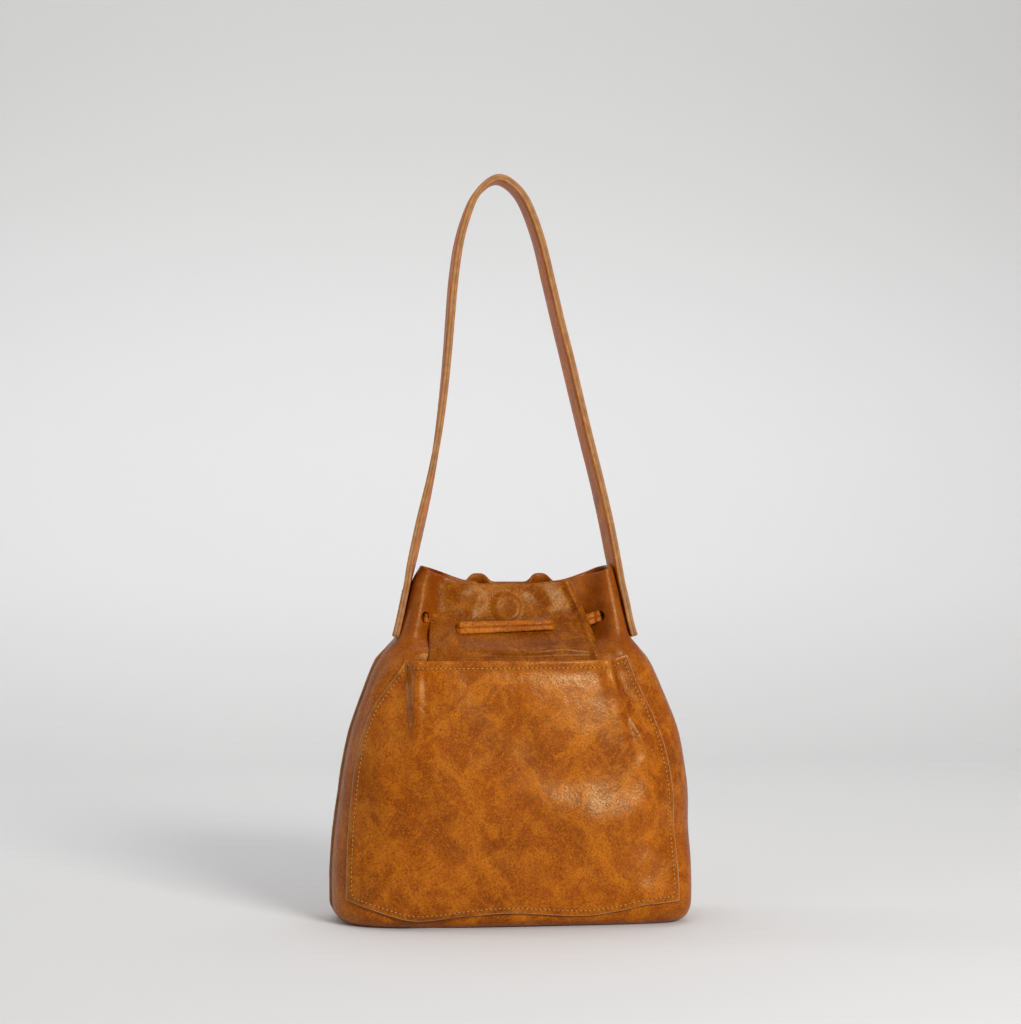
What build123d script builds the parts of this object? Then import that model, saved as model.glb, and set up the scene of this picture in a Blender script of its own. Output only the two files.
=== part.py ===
from build123d import *
import os

# Leather bucket bag with a drawstring mouth and one shoulder strap.
# Millimetres, +Z up, the front faces -Y. The origin is the middle of the base, on the floor.

# ---------------------------------------------------------------- driving dimensions
leather = 2.0              # thickness of the body leather
flap_leather = 1.8         # thickness of the mouth flaps
bag_width = 278.0          # widest point of the body
bag_depth = 113.0          # deepest point of the body, without the pocket
shoulder_height = 200.0    # where the body starts to narrow to the neck
crease_height = 204.0      # lower edge of the mouth flaps
neck_height = 222.0        # where the gathered neck is at its narrowest depth
wing_height = 271.0        # top of the gathered side loops
wing_slope_drop = 9.0      # how far the rim falls from the strap to the flap
rim_height = 258.0         # top edge of the mouth flaps
rim_width = 150.0          # width over the side loops at the rim
rim_depth = 40.0           # depth of the side loops at the rim
flap_half = 60.0           # half width of a mouth flap
fold_half = 62.0           # half width of the flat gathered layer behind a flap
window_half = 54.0         # half width of the mouth between the side loops
layer_gap = 0.35           # clearance between neighbouring leather layers
closure_shift = -4.5       # the closure sits a little to the left of the middle

base_lip = 7.0             # width of the turned-in lip round the base
welt_thickness = 1.6
welt_proud = 1.5
welt_inside = 6.0
welt_top = 214.0

pocket_top = 200.0
pocket_low = 12.0
pocket_seam = 8.0          # width of the sewn margin
pocket_bulge = 10.5        # how far the pocket mouth stands off at its middle
pocket_hem = 12.0
pocket_hem_thickness = 1.2

lace_width = 9.0
lace_thickness = 2.2
lace_height = 225.0        # height of the middle of the lace
lace_run_half = 37.0       # half length of the lace seen on the front flap
lace_play = 0.8            # clearance of a lace slot, each side
lace_overlap_half = 9.0    # half length of the sewn overlap of the lace ends

magnet_diameter = 20.0
magnet_thickness = 3.2
magnet_height = 239.0
patch_diameter = 34.0
patch_wall = 1.4
patch_meeting_gap = 0.4    # space between the two closed magnet patches

strap_width = 28.0
strap_layer = 2.5
strap_hinge_height = 271.0
strap_top = 571.0
strap_end_low = 216.0
strap_leg_half = 80.9      # half distance between the layers' glue lines at the hinge
strap_leg_rise = 8.0       # straight stretch of a leg above its hinge
strap_lean = -10.0         # the arch leans this far to the left at its top
strap_patch_width = 22.0
strap_patch_thickness = 1.6
strap_patch_low = 232.0
strap_patch_high = 260.0

# ---------------------------------------------------------------- derived sizes
half_width = bag_width / 2
half_depth = bag_depth / 2
flat_depth = patch_meeting_gap / 2 + 3.0     # half depth of the gathered layers at the neck
flap_inner_lace = 13.0                       # inner face of a flap behind the lace
flap_inner_rim = patch_meeting_gap / 2 + patch_wall + magnet_thickness + 2 * layer_gap
hinge_clear = 0.4                            # gap between a strap leg and its sewn end
reach = 400.0                                # larger than the bag, for cutting blocks

# Body sections: height, half width, half depth at the ends, half depth in the middle, roundness.
shoulder_half = half_width - 35.0
neck_half = half_width - 52.5
lower_sections = [
    (0.0, half_width - 11.0, half_depth - 11.5, half_depth - 11.5, 3.0),
    (5.0, half_width - 4.5, half_depth - 5.5, half_depth - 5.5, 3.0),
    (14.0, half_width - 1.0, half_depth - 2.0, half_depth - 2.0, 3.0),
    (45.0, half_width, half_depth, half_depth, 2.9),
    (90.0, half_width - 3.5, half_depth - 0.5, half_depth - 0.5, 2.8),
    (140.0, half_width - 11.5, half_depth - 6.0, half_depth - 6.0, 2.8),
    (175.0, half_width - 24.0, half_depth - 12.0, half_depth - 12.5, 2.8),
    (shoulder_height, shoulder_half, half_depth - 18.5, half_depth - 20.0, 3.2),
]
upper_sections = [
    (shoulder_height, shoulder_half, half_depth - 18.5, half_depth - 20.0, 3.2),
    (crease_height + 2, shoulder_half - 4.5, half_depth - 21.0, half_depth - 24.5, 3.6),
    (crease_height + 8, shoulder_half - 10.0, half_depth - 24.0, half_depth - 34.5, 4.0),
    (neck_height - 4, shoulder_half - 15.0, half_depth - 27.0, flat_depth + 3.0, 4.6),
    (neck_height, neck_half, half_depth - 28.5, flat_depth, 5.0),
    (neck_height + 20, rim_width / 2 + 5.5, rim_depth / 2 + 4.0, flat_depth, 5.5),
    (rim_height - 1, rim_width / 2 + 2.2, rim_depth / 2 + 1.0, flat_depth, 5.5),
    (wing_height, rim_width / 2, rim_depth / 2, flat_depth, 5.5),
]


def section_at(height, sections):
    """Sizes of the body section at a height, between the two nearest given ones."""
    for low, high in zip(sections, sections[1:]):
        if low[0] <= height <= high[0]:
            share = (height - low[0]) / (high[0] - low[0])
            return tuple(a + share * (b - a) for a, b in zip(low, high))
    raise ValueError("height outside the body")


def smooth(value):
    """An S-shaped step from 0 to 1."""
    value = min(1.0, max(0.0, value))
    return value * value * (3 - 2 * value)


def outline_edges(section, grow, bulge=0.0, bulge_half=1.0):
    """Points of the four stretches round one body section, grown outward by a distance.

    The stretches are the front, the right end, the back and the left end.
    """
    height, half_x, end_y, mid_y, power = section
    gathered = smooth((height - shoulder_height) / (neck_height - shoulder_height))
    fold = 0.7 * half_x + gathered * (fold_half - 0.7 * half_x)
    rise = 0.5 * (half_x - fold)
    a = half_x + grow
    b = end_y + grow
    c = mid_y + grow
    start = fold - gathered * grow
    turn = start + rise

    def depth(x):
        middle = c + (b - c) * smooth((x - start) / rise)
        round_off = 1 - gathered if x <= start else 1.0
        return middle * (1 - round_off * (x / a) ** power) ** (1 / power)

    stops = [start + rise * k for k in (0.3, 0.7, 1.0)]
    stops += [turn + (a - turn) * k for k in (0.45, 0.8, 0.97)]
    across = [start * k for k in (1.0, 0.5, 0.0, -0.5, -1.0)]
    front = [(-x, -depth(abs(x)) - bulge * max(0.0, 1 - (x / bulge_half) ** 2)) for x in across]
    back = [(x, depth(abs(x))) for x in across]
    end = [(x, -depth(x)) for x in stops] + [(a, 0)] + [(x, depth(x)) for x in reversed(stops)]
    right = [front[-1]] + end + [back[0]]
    left = [back[-1]] + [(-x, -y) for x, y in end] + [front[0]]
    return front, right, back, left


def section_sketch(section, grow, bulge=0.0, bulge_half=1.0):
    """One body section as a sketch at its own height."""
    with BuildSketch(Plane.XY.offset(section[0])) as sketch:
        with BuildLine():
            for stretch in outline_edges(section, grow, bulge, bulge_half):
                Spline(stretch)
        make_face()
    return sketch.sketch


def skin(sections, grow, ruled=False):
    """The closed outer form of the body through some sections, grown outward by a distance."""
    with BuildPart() as form:
        loft([section_sketch(section, grow) for section in sections], ruled=ruled)
    return form.part


def body_form(low, grow):
    """The whole body from a height up to the rim, grown outward by a distance."""
    first = section_at(low, lower_sections)
    sections = [first] + [s for s in lower_sections if s[0] > low + 1]
    with BuildPart() as form:
        add(skin(sections, grow))
        add(skin(upper_sections, grow, ruled=True))
    return form.part


outer_form = body_form(0.0, 0.0)
inner_form = body_form(leather, -leather)

# ---------------------------------------------------------------- front and back panel
window_low = crease_height + 2.0


def body_panel(side):
    """One half of the body; side is -1 for the front and 1 for the back."""
    with BuildPart() as panel:
        add(outer_form)
        add(inner_form, mode=Mode.SUBTRACT)
        # the panels part at the side seam, where the welt lies
        with BuildSketch(Plane.XY):
            with Locations((0, side * (reach / 2 + welt_thickness / 2))):
                Rectangle(reach, reach)
        extrude(amount=reach, mode=Mode.INTERSECT)
        # the mouth between the side loops
        with BuildSketch(Plane.XZ):
            with Locations((0, window_low + reach / 2)):
                Rectangle(2 * window_half, reach)
        extrude(amount=reach, both=True, mode=Mode.SUBTRACT)
        # the rim falls from the strap toward the flap
        with BuildSketch(Plane.XZ):
            for way in (-1, 1):
                with BuildLine():
                    Polyline(
                        (0, wing_height - wing_slope_drop),
                        (way * window_half, wing_height - wing_slope_drop),
                        (way * (rim_width / 2 - 2), wing_height),
                        (way * rim_width, wing_height),
                        (way * rim_width, wing_height + 50),
                        (0, wing_height + 50),
                        close=True,
                    )
                make_face()
        extrude(amount=reach, both=True, mode=Mode.SUBTRACT)
        # seat of the base
        extrude(section_sketch(lower_sections[0], -base_lip), amount=leather, mode=Mode.SUBTRACT)
        # holes for the lace in the side loops
        with BuildSketch(Plane.XY.offset(lace_height - lace_width / 2 - lace_play)):
            for way in (-1, 1):
                with Locations((way * (fold_half + 8), side * lace_hidden_y)):
                    Rectangle(16 + 2 * lace_play, lace_thickness + 2 * lace_play)
        extrude(amount=lace_width + 2 * lace_play, mode=Mode.SUBTRACT)
    return panel.part


lace_hidden_y = flap_inner_lace - layer_gap - lace_thickness / 2
lace_shown_y = flap_inner_lace + flap_leather + layer_gap + lace_thickness / 2

front_panel = body_panel(-1)
front_panel.label = "front_panel"
back_panel = body_panel(1)
back_panel.label = "back_panel"

# ---------------------------------------------------------------- base
with BuildPart() as base_panel:
    extrude(section_sketch(lower_sections[0], -base_lip - layer_gap), amount=leather)
base_panel.part.label = "base_panel"


# ---------------------------------------------------------------- side welts
def side_welt(way):
    """The strip sewn between the two panels at one side; way is -1 left, 1 right."""
    heights = [s[0] for s in lower_sections[1:]] + [crease_height + 2, welt_top]
    widths = [section_at(h, lower_sections)[1] for h in heights[:-2]]
    widths += [section_at(h, upper_sections)[1] for h in heights[-2:]]
    with BuildPart() as strip:
        with BuildSketch(Plane.XZ):
            with BuildLine():
                outer = Spline([(way * (x + welt_proud), z) for x, z in zip(widths, heights)])
                inner = Spline([(way * (x - welt_inside), z) for x, z in zip(widths, heights)])
                Line(outer @ 0, inner @ 0)
                Line(outer @ 1, inner @ 1)
            make_face()
        extrude(amount=(welt_thickness - layer_gap) / 2, both=True)
    return strip.part


left_side_welt = side_welt(-1)
left_side_welt.label = "left_side_welt"
right_side_welt = side_welt(1)
right_side_welt.label = "right_side_welt"

# ---------------------------------------------------------------- front pocket
# share of the pocket's slack at each body section, from the floor to the shoulder
pocket_slack = (0.0, 0.0, 0.0, 0.1, 0.3, 0.6, 0.85, 1.0)


def pocket_form(grow):
    """The body form with the slack of the pocket added in front."""
    with BuildPart() as form:
        loft([
            section_sketch(section, grow, bulge=share * pocket_bulge, bulge_half=0.86 * section[1])
            for section, share in zip(lower_sections, pocket_slack)
        ])
    return form.part


def pocket_outline(inset):
    """Front outline of the pocket as a prism, drawn in by a distance from its sewn edges."""
    top_x = half_width - 56.0 - inset
    low_x = half_width - 11.0 - inset
    with BuildPart() as prism:
        with BuildSketch(Plane.XZ):
            with BuildLine() as edge:
                right = Spline(
                    (top_x, pocket_top),
                    (half_width - 37.0 - inset, pocket_top - 30),
                    (half_width - 23.5 - inset, pocket_top - 60),
                    (half_width - 15.0 - inset, pocket_top - 105),
                    (low_x, pocket_low + 8 + inset),
                )
                bottom = ThreePointArc(
                    right @ 1, (0, pocket_low - 2 + inset), (-low_x, pocket_low + 8 + inset)
                )
                left = Spline(
                    bottom @ 1,
                    (-(half_width - 15.0 - inset), pocket_top - 105),
                    (-(half_width - 23.5 - inset), pocket_top - 60),
                    (-(half_width - 37.0 - inset), pocket_top - 30),
                    (-top_x, pocket_top),
                )
                Line(left @ 1, right @ 0)
            make_face()
        extrude(amount=reach)
    return prism.part


with BuildPart() as front_pocket:
    add(pocket_form(layer_gap + leather))
    add(pocket_form(layer_gap), mode=Mode.SUBTRACT)
    add(pocket_outline(0), mode=Mode.INTERSECT)
with BuildPart() as pocket_margin:
    add(pocket_form(layer_gap + leather / 2))
    add(skin(lower_sections, layer_gap), mode=Mode.SUBTRACT)
    add(pocket_outline(0), mode=Mode.INTERSECT)
    add(pocket_outline(pocket_seam), mode=Mode.SUBTRACT)
    with BuildSketch(Plane.XY):
        Rectangle(reach, reach)
    extrude(amount=pocket_top - pocket_hem, mode=Mode.INTERSECT)
with BuildPart() as pocket_fold:
    add(pocket_form(layer_gap + leather + pocket_hem_thickness))
    add(pocket_form(layer_gap + leather / 2), mode=Mode.SUBTRACT)
    add(pocket_outline(0), mode=Mode.INTERSECT)
    with BuildSketch(Plane.XY.offset(pocket_top - pocket_hem)):
        Rectangle(reach, reach)
    extrude(amount=pocket_hem, mode=Mode.INTERSECT)
with BuildPart() as pocket:
    add(front_pocket.part)
    add(pocket_margin.part)
    add(pocket_fold.part)
pocket.part.label = "front_pocket"

# ---------------------------------------------------------------- mouth flaps
flap_low_y = half_depth - 22.0 + layer_gap


def flap_profile(side):
    """Inner face of a flap from its lower edge to the rim, as (y, z) points."""
    points = [
        (flap_low_y, crease_height),
        (flap_low_y - 1.6, crease_height + 3.5),
        (flap_inner_lace + 12.0, crease_height + 9.0),
        (flap_inner_lace, neck_height - 3.0),
        (flap_inner_lace, lace_height + lace_width / 2 + 2),
        (flap_inner_rim, rim_height - 16),
        (flap_inner_rim, rim_height),
    ]
    return [(side * y, z) for y, z in points]


def mouth_flap(side):
    """The middle part of the gathered mouth; side is -1 for the front and 1 for the back."""
    with BuildPart() as flap:
        with BuildSketch(Plane.YZ):
            with BuildLine() as inner:
                FilletPolyline(*flap_profile(side), radius=[2, 4, 3, 3, 8])
                offset(amount=flap_leather, side=Side.LEFT if side < 0 else Side.RIGHT)
            make_face()
        extrude(amount=flap_half, both=True)
        # the folded-back edges that close the corners
        profile = flap_profile(side)
        back = [(s[3] + layer_gap, s[0]) for s in upper_sections[1:5]]
        back.append((flat_depth + layer_gap, rim_height - 2))
        lip = profile[1:6] + [(profile[6][0], rim_height - 2)]
        lip += [(side * y, z) for y, z in reversed(back)]
        for way in (-1, 1):
            with BuildSketch(Plane.YZ.offset(way * (flap_half - flap_leather / 2))):
                with BuildLine():
                    Polyline(*lip, close=True)
                make_face()
            extrude(amount=flap_leather / 2, both=True)
        # slots where the lace goes through the flap and through its folded edges
        with BuildSketch(Plane.XY.offset(lace_height - lace_width / 2 - lace_play)):
            for way in (-1, 1):
                with Locations((closure_shift + way * lace_run_half, side * lace_shown_y)):
                    Rectangle(9, 10)
                with Locations((way * flap_half, side * lace_hidden_y)):
                    Rectangle(8, lace_thickness + 2 * lace_play)
        extrude(amount=lace_width + 2 * lace_play, mode=Mode.SUBTRACT)
    return flap.part


front_flap = mouth_flap(-1)
front_flap.label = "front_flap"
back_flap = mouth_flap(1)
back_flap.label = "back_flap"


# ---------------------------------------------------------------- magnets and their patches
def magnet_plane(side, y):
    """A plane across the magnet's axis at a distance from the middle of the bag."""
    return Plane(
        origin=(closure_shift, side * y, magnet_height), x_dir=(1, 0, 0), z_dir=(0, side, 0)
    )


def magnet_patch(side):
    """The round leather patch sewn inside a flap, hollow for its magnet."""
    with BuildPart() as patch:
        with BuildSketch(magnet_plane(side, patch_meeting_gap / 2)):
            Circle(patch_diameter / 2)
        extrude(amount=flap_inner_rim - layer_gap - patch_meeting_gap / 2, taper=20)
        with BuildSketch(magnet_plane(side, patch_meeting_gap / 2 + patch_wall)):
            Circle(magnet_diameter / 2 + layer_gap)
        extrude(amount=20, mode=Mode.SUBTRACT)
    return patch.part


def magnet(side):
    """One disc magnet."""
    with BuildPart() as disc:
        with BuildSketch(magnet_plane(side, patch_meeting_gap / 2 + patch_wall + layer_gap / 2)):
            Circle(magnet_diameter / 2)
        extrude(amount=magnet_thickness)
        chamfer(disc.edges().filter_by(GeomType.CIRCLE), 0.4)
    return disc.part


front_magnet_patch = magnet_patch(-1)
front_magnet_patch.label = "front_magnet_patch"
back_magnet_patch = magnet_patch(1)
back_magnet_patch.label = "back_magnet_patch"
front_magnet = magnet(-1)
front_magnet.label = "front_magnet"
back_magnet = magnet(1)
back_magnet.label = "back_magnet"

# ---------------------------------------------------------------- drawstring
lace_end_x = section_at(lace_height, upper_sections)[1] - leather - layer_gap - 3.0


def lace_route(side):
    """Half of the lace's loop in plan, from right to left, on one side of the bag."""
    return [
        (lace_end_x, side * lace_hidden_y),
        (closure_shift + lace_run_half + 4, side * lace_hidden_y),
        (closure_shift + lace_run_half - 4, side * lace_shown_y),
        (closure_shift - lace_run_half + 4, side * lace_shown_y),
        (closure_shift - lace_run_half - 4, side * lace_hidden_y),
        (-lace_end_x, side * lace_hidden_y),
    ]


with BuildPart() as drawstring:
    with BuildSketch(Plane.XY.offset(lace_height - lace_width / 2)):
        for edge, keep in ((lace_thickness / 2, Mode.ADD), (-lace_thickness / 2, Mode.SUBTRACT)):
            with BuildSketch(mode=keep):
                with BuildLine():
                    FilletPolyline(
                        *lace_route(-1),
                        *reversed(lace_route(1)),
                        radius=[6, 5, 5, 5, 5, 6, 6, 5, 5, 5, 5, 6],
                        close=True,
                    )
                make_face()
                offset(amount=edge)
    extrude(amount=lace_width)
    # the ends lap over each other at the back, where they are sewn
    with BuildSketch(Plane.XY.offset(lace_height - lace_width / 2)):
        with Locations((closure_shift, lace_shown_y + lace_thickness)):
            Rectangle(2 * lace_overlap_half, lace_thickness)
    extrude(amount=lace_width)
drawstring.part.label = "drawstring"


# ---------------------------------------------------------------- sewn strap ends
def side_layer(way, low_x, thickness, heights, width):
    """A flat leather layer that follows the side loop, low_x outside its outer face."""
    near_x = [section_at(h, upper_sections)[1] + low_x for h in heights]
    with BuildPart() as layer:
        with BuildSketch(Plane.XZ):
            with BuildLine():
                near = Polyline(*[(way * x, z) for x, z in zip(near_x, heights)])
                far = Polyline(*[(way * (x + thickness), z) for x, z in zip(near_x, heights)])
                Line(near @ 0, far @ 0)
                Line(near @ 1, far @ 1)
            make_face()
        extrude(amount=width / 2, both=True)
    return layer.part


strap_end_high = strap_hinge_height - strap_width / 2 - hinge_clear
strap_end_heights = [strap_end_low, neck_height, neck_height + 20, strap_end_high]
strap_patch_heights = [strap_patch_low, neck_height + 20, strap_patch_high]
strap_patch_x = -leather - 3 * layer_gap - strap_patch_thickness
strap_pieces = []
for side_name, way in (("left", -1), ("right", 1)):
    for layer_name, low_x in (("inner", layer_gap), ("outer", layer_gap + strap_layer)):
        piece = side_layer(way, low_x, strap_layer, strap_end_heights, strap_width)
        piece.label = f"{side_name}_strap_end_{layer_name}"
        strap_pieces.append(piece)
    piece = side_layer(
        way, strap_patch_x, strap_patch_thickness, strap_patch_heights, strap_patch_width
    )
    piece.label = f"{side_name}_strap_patch"
    strap_pieces.append(piece)


# ---------------------------------------------------------------- shoulder strap
arch_low = strap_hinge_height + strap_leg_rise
arch_rise = strap_top - strap_layer - arch_low
strap_low = strap_hinge_height - strap_width / 2
# share of the arch's height, share of its half span at the legs
arch_shape = ((0.0, 1.0), (0.2, 0.835), (0.41, 0.655), (0.62, 0.525), (0.8, 0.42), (0.93, 0.27))


def arch_side(way):
    """Points up one side of the arch's glue line, as (x, z)."""
    return [
        (strap_lean * rise ** 2 + way * span * strap_leg_half, arch_low + arch_rise * rise)
        for rise, span in arch_shape
    ]


with BuildLine(Plane.XZ) as glue_line:
    Spline(
        *arch_side(-1), (strap_lean, arch_low + arch_rise), *reversed(arch_side(1)),
        tangents=[(0, 1), (0, -1)],
    )


def beside_glue_line(distance, count=30):
    """Points (x, z) that run beside the glue line, a distance outside or inside it."""
    line = glue_line.line
    points = []
    for k in range(count + 1):
        place = line @ (k / count)
        along = line % (k / count)
        points.append((place.X - along.Z * distance, place.Z + along.X * distance))
    return points


def strap_band(distance):
    """One layer of the shoulder strap, from the glue line to a distance outside or inside it."""
    near = beside_glue_line(0)
    far = beside_glue_line(distance)
    with BuildPart() as band:
        with BuildSketch(Plane.XZ.offset(-strap_width / 2)):
            with BuildLine():
                Spline(near)
                Spline(far)
                for end in (0, -1):
                    Polyline(
                        near[end], (near[end][0], strap_low), (far[end][0], strap_low), far[end]
                    )
            make_face()
        extrude(amount=strap_width)
        # the lower ends are round about the line that the strap swings on
        with BuildSketch(Plane.YZ):
            with Locations((0, strap_hinge_height)):
                Circle(strap_width / 2)
            with Locations((0, strap_hinge_height + reach / 2)):
                Rectangle(strap_width, reach)
        extrude(amount=reach, both=True, mode=Mode.INTERSECT)
    return band.part


strap_outer = strap_band(strap_layer)
strap_outer.label = "strap_outer"
strap_inner = strap_band(-strap_layer)
strap_inner.label = "strap_inner"

# ---------------------------------------------------------------- write the pieces
os.makedirs("parts", exist_ok=True)
pieces = [
    front_panel,
    back_panel,
    base_panel.part,
    left_side_welt,
    right_side_welt,
    pocket.part,
    front_flap,
    back_flap,
    front_magnet_patch,
    back_magnet_patch,
    front_magnet,
    back_magnet,
    drawstring.part,
    strap_outer,
    strap_inner,
] + strap_pieces
for piece in pieces:
    export_step(piece, f"parts/{piece.label}.step")
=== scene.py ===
import math
from functools import lru_cache

import bmesh
import bpy
from bpy.props import FloatProperty, FloatVectorProperty, IntProperty, PointerProperty
from bpy.types import Operator, Panel, PropertyGroup
from mathutils import Matrix, Vector, noise
from mathutils.bvhtree import BVHTree


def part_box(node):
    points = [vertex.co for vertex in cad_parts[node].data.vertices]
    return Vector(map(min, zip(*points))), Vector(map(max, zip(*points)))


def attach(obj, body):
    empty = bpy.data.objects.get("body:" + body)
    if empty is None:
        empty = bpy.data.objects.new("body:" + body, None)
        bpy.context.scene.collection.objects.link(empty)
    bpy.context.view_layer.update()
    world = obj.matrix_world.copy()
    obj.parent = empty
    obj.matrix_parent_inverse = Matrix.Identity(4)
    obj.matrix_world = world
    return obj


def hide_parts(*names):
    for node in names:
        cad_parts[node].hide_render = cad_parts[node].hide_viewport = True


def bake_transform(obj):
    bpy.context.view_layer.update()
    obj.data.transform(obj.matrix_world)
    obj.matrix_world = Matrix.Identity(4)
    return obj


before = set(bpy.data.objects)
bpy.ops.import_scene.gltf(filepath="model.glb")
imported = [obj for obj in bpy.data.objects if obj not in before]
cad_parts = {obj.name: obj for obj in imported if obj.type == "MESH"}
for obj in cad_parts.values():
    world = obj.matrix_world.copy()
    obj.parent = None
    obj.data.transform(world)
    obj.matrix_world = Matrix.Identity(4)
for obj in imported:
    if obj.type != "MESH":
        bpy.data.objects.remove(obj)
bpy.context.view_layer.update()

bl_info = {
    "name": "Leather bucket bag",
    "version": (1, 0, 0),
    "blender": (4, 5, 0),
    "location": "View3D > Sidebar > Bucket bag",
    "description": "Makes the leather, stitching, lace and strap of a bucket bag round its frame",
    "category": "Object",
}

MM = 0.001

# ---------------------------------------------------------------- places from the frame, in mm
def box_in_mm(node):
    """Lowest and highest corner of a CAD node, in mm."""
    return [tuple(c / MM for c in corner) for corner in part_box(node)]


panel_high = box_in_mm("front_panel")[1]
back_high = box_in_mm("back_panel")[1]
flap_low, flap_high = box_in_mm("front_flap")
lace_low, lace_high = box_in_mm("drawstring")
magnet_low, magnet_high = box_in_mm("front_magnet")
pocket_high = box_in_mm("front_pocket")[1]
arch_low, arch_high = box_in_mm("strap_outer")

HALF_WIDTH = panel_high[0]
HALF_DEPTH = back_high[1]
WING_Z = panel_high[2]
CREASE_Z = flap_low[2]
RIM_Z = flap_high[2]
LACE_Z = (lace_low[2] + lace_high[2]) / 2
MAGNET_X = (magnet_low[0] + magnet_high[0]) / 2
MAGNET_Z = (magnet_low[2] + magnet_high[2]) / 2
POCKET_Z = pocket_high[2]
SHOULDER_Z = CREASE_Z - 4.0      # where the body starts to lean in toward the neck
NECK_Z = CREASE_Z + 18.0         # where the gathered side loops are narrow


# ---------------------------------------------------------------- settings a user would change
def size_setting(name, description, millimetres):
    """A length that a user can change."""
    return FloatProperty(
        name=name, description=description, default=millimetres * MM, min=0.0, unit="LENGTH",
    )


def colour_setting(name, description, colour):
    """A colour that a user can change."""
    return FloatVectorProperty(
        name=name, description=description, default=colour, subtype="COLOR", min=0, max=1,
    )


class BucketBagSettings(PropertyGroup):
    """Sizes and colours of the bag's leather, thread and lace."""

    leather_thickness: size_setting("Leather", "Thickness of the body leather", 1.8)
    stitch_length: size_setting("Stitch length", "Length of one stitch seen on the surface", 2.6)
    stitch_spacing: size_setting("Stitch spacing", "Distance from one stitch to the next", 3.4)
    thread_radius: size_setting("Thread radius", "Radius of the sewing thread", 0.42)
    sag: size_setting("Sag", "How far the leather's slow waves move it in or out", 1.5)
    lace_width: size_setting(
        "Lace width", "Width of the folded leather lace", lace_high[2] - lace_low[2],
    )
    lace_thickness: size_setting("Lace thickness", "Thickness of the folded leather lace", 2.6)
    strap_width: size_setting(
        "Strap width", "Width of the shoulder strap", arch_high[1] - arch_low[1],
    )
    strap_thickness: size_setting(
        "Strap thickness", "Thickness of the two strap layers together", 5.0,
    )
    leather_colour: colour_setting(
        "Leather", "Middle colour of the oiled leather", (0.292, 0.062, 0.0008),
    )
    dark_colour: colour_setting(
        "Folds", "Colour of the darker, redder patches", (0.165, 0.029, 0.0006),
    )
    light_colour: colour_setting(
        "Scuffs", "Colour of the rubbed, lighter patches", (0.47, 0.135, 0.0050),
    )
    edge_colour: colour_setting(
        "Cut edges", "Colour of the raw cut leather edges", (0.38, 0.195, 0.072),
    )
    sheen_colour: colour_setting(
        "Sheen", "Colour that the wax gives to the leather's highlights", (1.0, 0.84, 0.44),
    )
    thread_colour: colour_setting("Thread", "Colour of the sewing thread", (0.50, 0.22, 0.035))
    seed: IntProperty(
        name="Seed", description="Seed of the leather's waves and of the thread's unevenness",
        default=7,
    )


def settings():
    """The bag's settings in this scene."""
    return bpy.context.scene.bucket_bag


# ---------------------------------------------------------------- small mathematics
def smooth(value, low=0.0, high=1.0):
    """An S-shaped step from 0 at low to 1 at high."""
    share = min(1.0, max(0.0, (value - low) / (high - low)))
    return share * share * (3 - 2 * share)


def follow(table, at):
    """Value of a smooth curve through (place, value) pairs, without overshoot."""
    if at <= table[0][0]:
        return table[0][1]
    if at >= table[-1][0]:
        return table[-1][1]
    slopes = [(b[1] - a[1]) / (b[0] - a[0]) for a, b in zip(table, table[1:])]
    k = next(i for i, pair in enumerate(table[1:]) if at <= pair[0])

    def slope_at(i):
        if i == 0 or i == len(table) - 1:
            return slopes[0 if i == 0 else -1]
        if slopes[i - 1] * slopes[i] <= 0:
            return 0.0
        return 2 * slopes[i - 1] * slopes[i] / (slopes[i - 1] + slopes[i])

    (x0, y0), (x1, y1) = table[k], table[k + 1]
    width = x1 - x0
    t = (at - x0) / width
    m0, m1 = slope_at(k) * width, slope_at(k + 1) * width
    return (
        (2 * t**3 - 3 * t**2 + 1) * y0 + (t**3 - 2 * t**2 + t) * m0
        + (-2 * t**3 + 3 * t**2) * y1 + (t**3 - t**2) * m1
    )


def wave(x, y, z, size, seed_shift=0.0):
    """Slow smooth noise from -1 to 1 with features of about size mm."""
    shift = settings().seed * 3.7 + seed_shift
    return noise.noise(Vector((x / size + shift, y / size - shift, z / size + 0.5 * shift)))


def ridge(x, z, start, end, width, height):
    """Height of a soft fold that runs from start to end, fading toward both ends."""
    run = (end[0] - start[0], end[1] - start[1])
    length = math.hypot(*run)
    along = ((x - start[0]) * run[0] + (z - start[1]) * run[1]) / length
    off = ((x - start[0]) * run[1] - (z - start[1]) * run[0]) / length
    fade = smooth(along / length, -0.15, 0.25) * smooth(along / length, 1.15, 0.7)
    return height * fade * math.exp(-((off / width) ** 2))


def mound(x, z, middle_x, middle_z, wide, high, height):
    """Height of a round swell, or of a hollow where height is negative."""
    return height * math.exp(-(((x - middle_x) / wide) ** 2 + ((z - middle_z) / high) ** 2))


def fold_along(x, z, chain, width, height):
    """Height of a soft fold along a chain of points, fading toward both ends."""
    best = None
    total = sum(math.dist(a, b) for a, b in zip(chain, chain[1:]))
    done = 0.0
    for a, b in zip(chain, chain[1:]):
        length = math.dist(a, b)
        share = ((x - a[0]) * (b[0] - a[0]) + (z - a[1]) * (b[1] - a[1])) / length**2
        share = min(1.0, max(0.0, share))
        off = math.dist((x, z), (a[0] + share * (b[0] - a[0]), a[1] + share * (b[1] - a[1])))
        if best is None or off < best[0]:
            best = (off, (done + share * length) / total)
        done += length
    off, along = best
    fade = smooth(along, -0.05, 0.2) * smooth(along, 1.05, 0.7)
    return height * fade * math.exp(-((off / width) ** 2))


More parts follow.
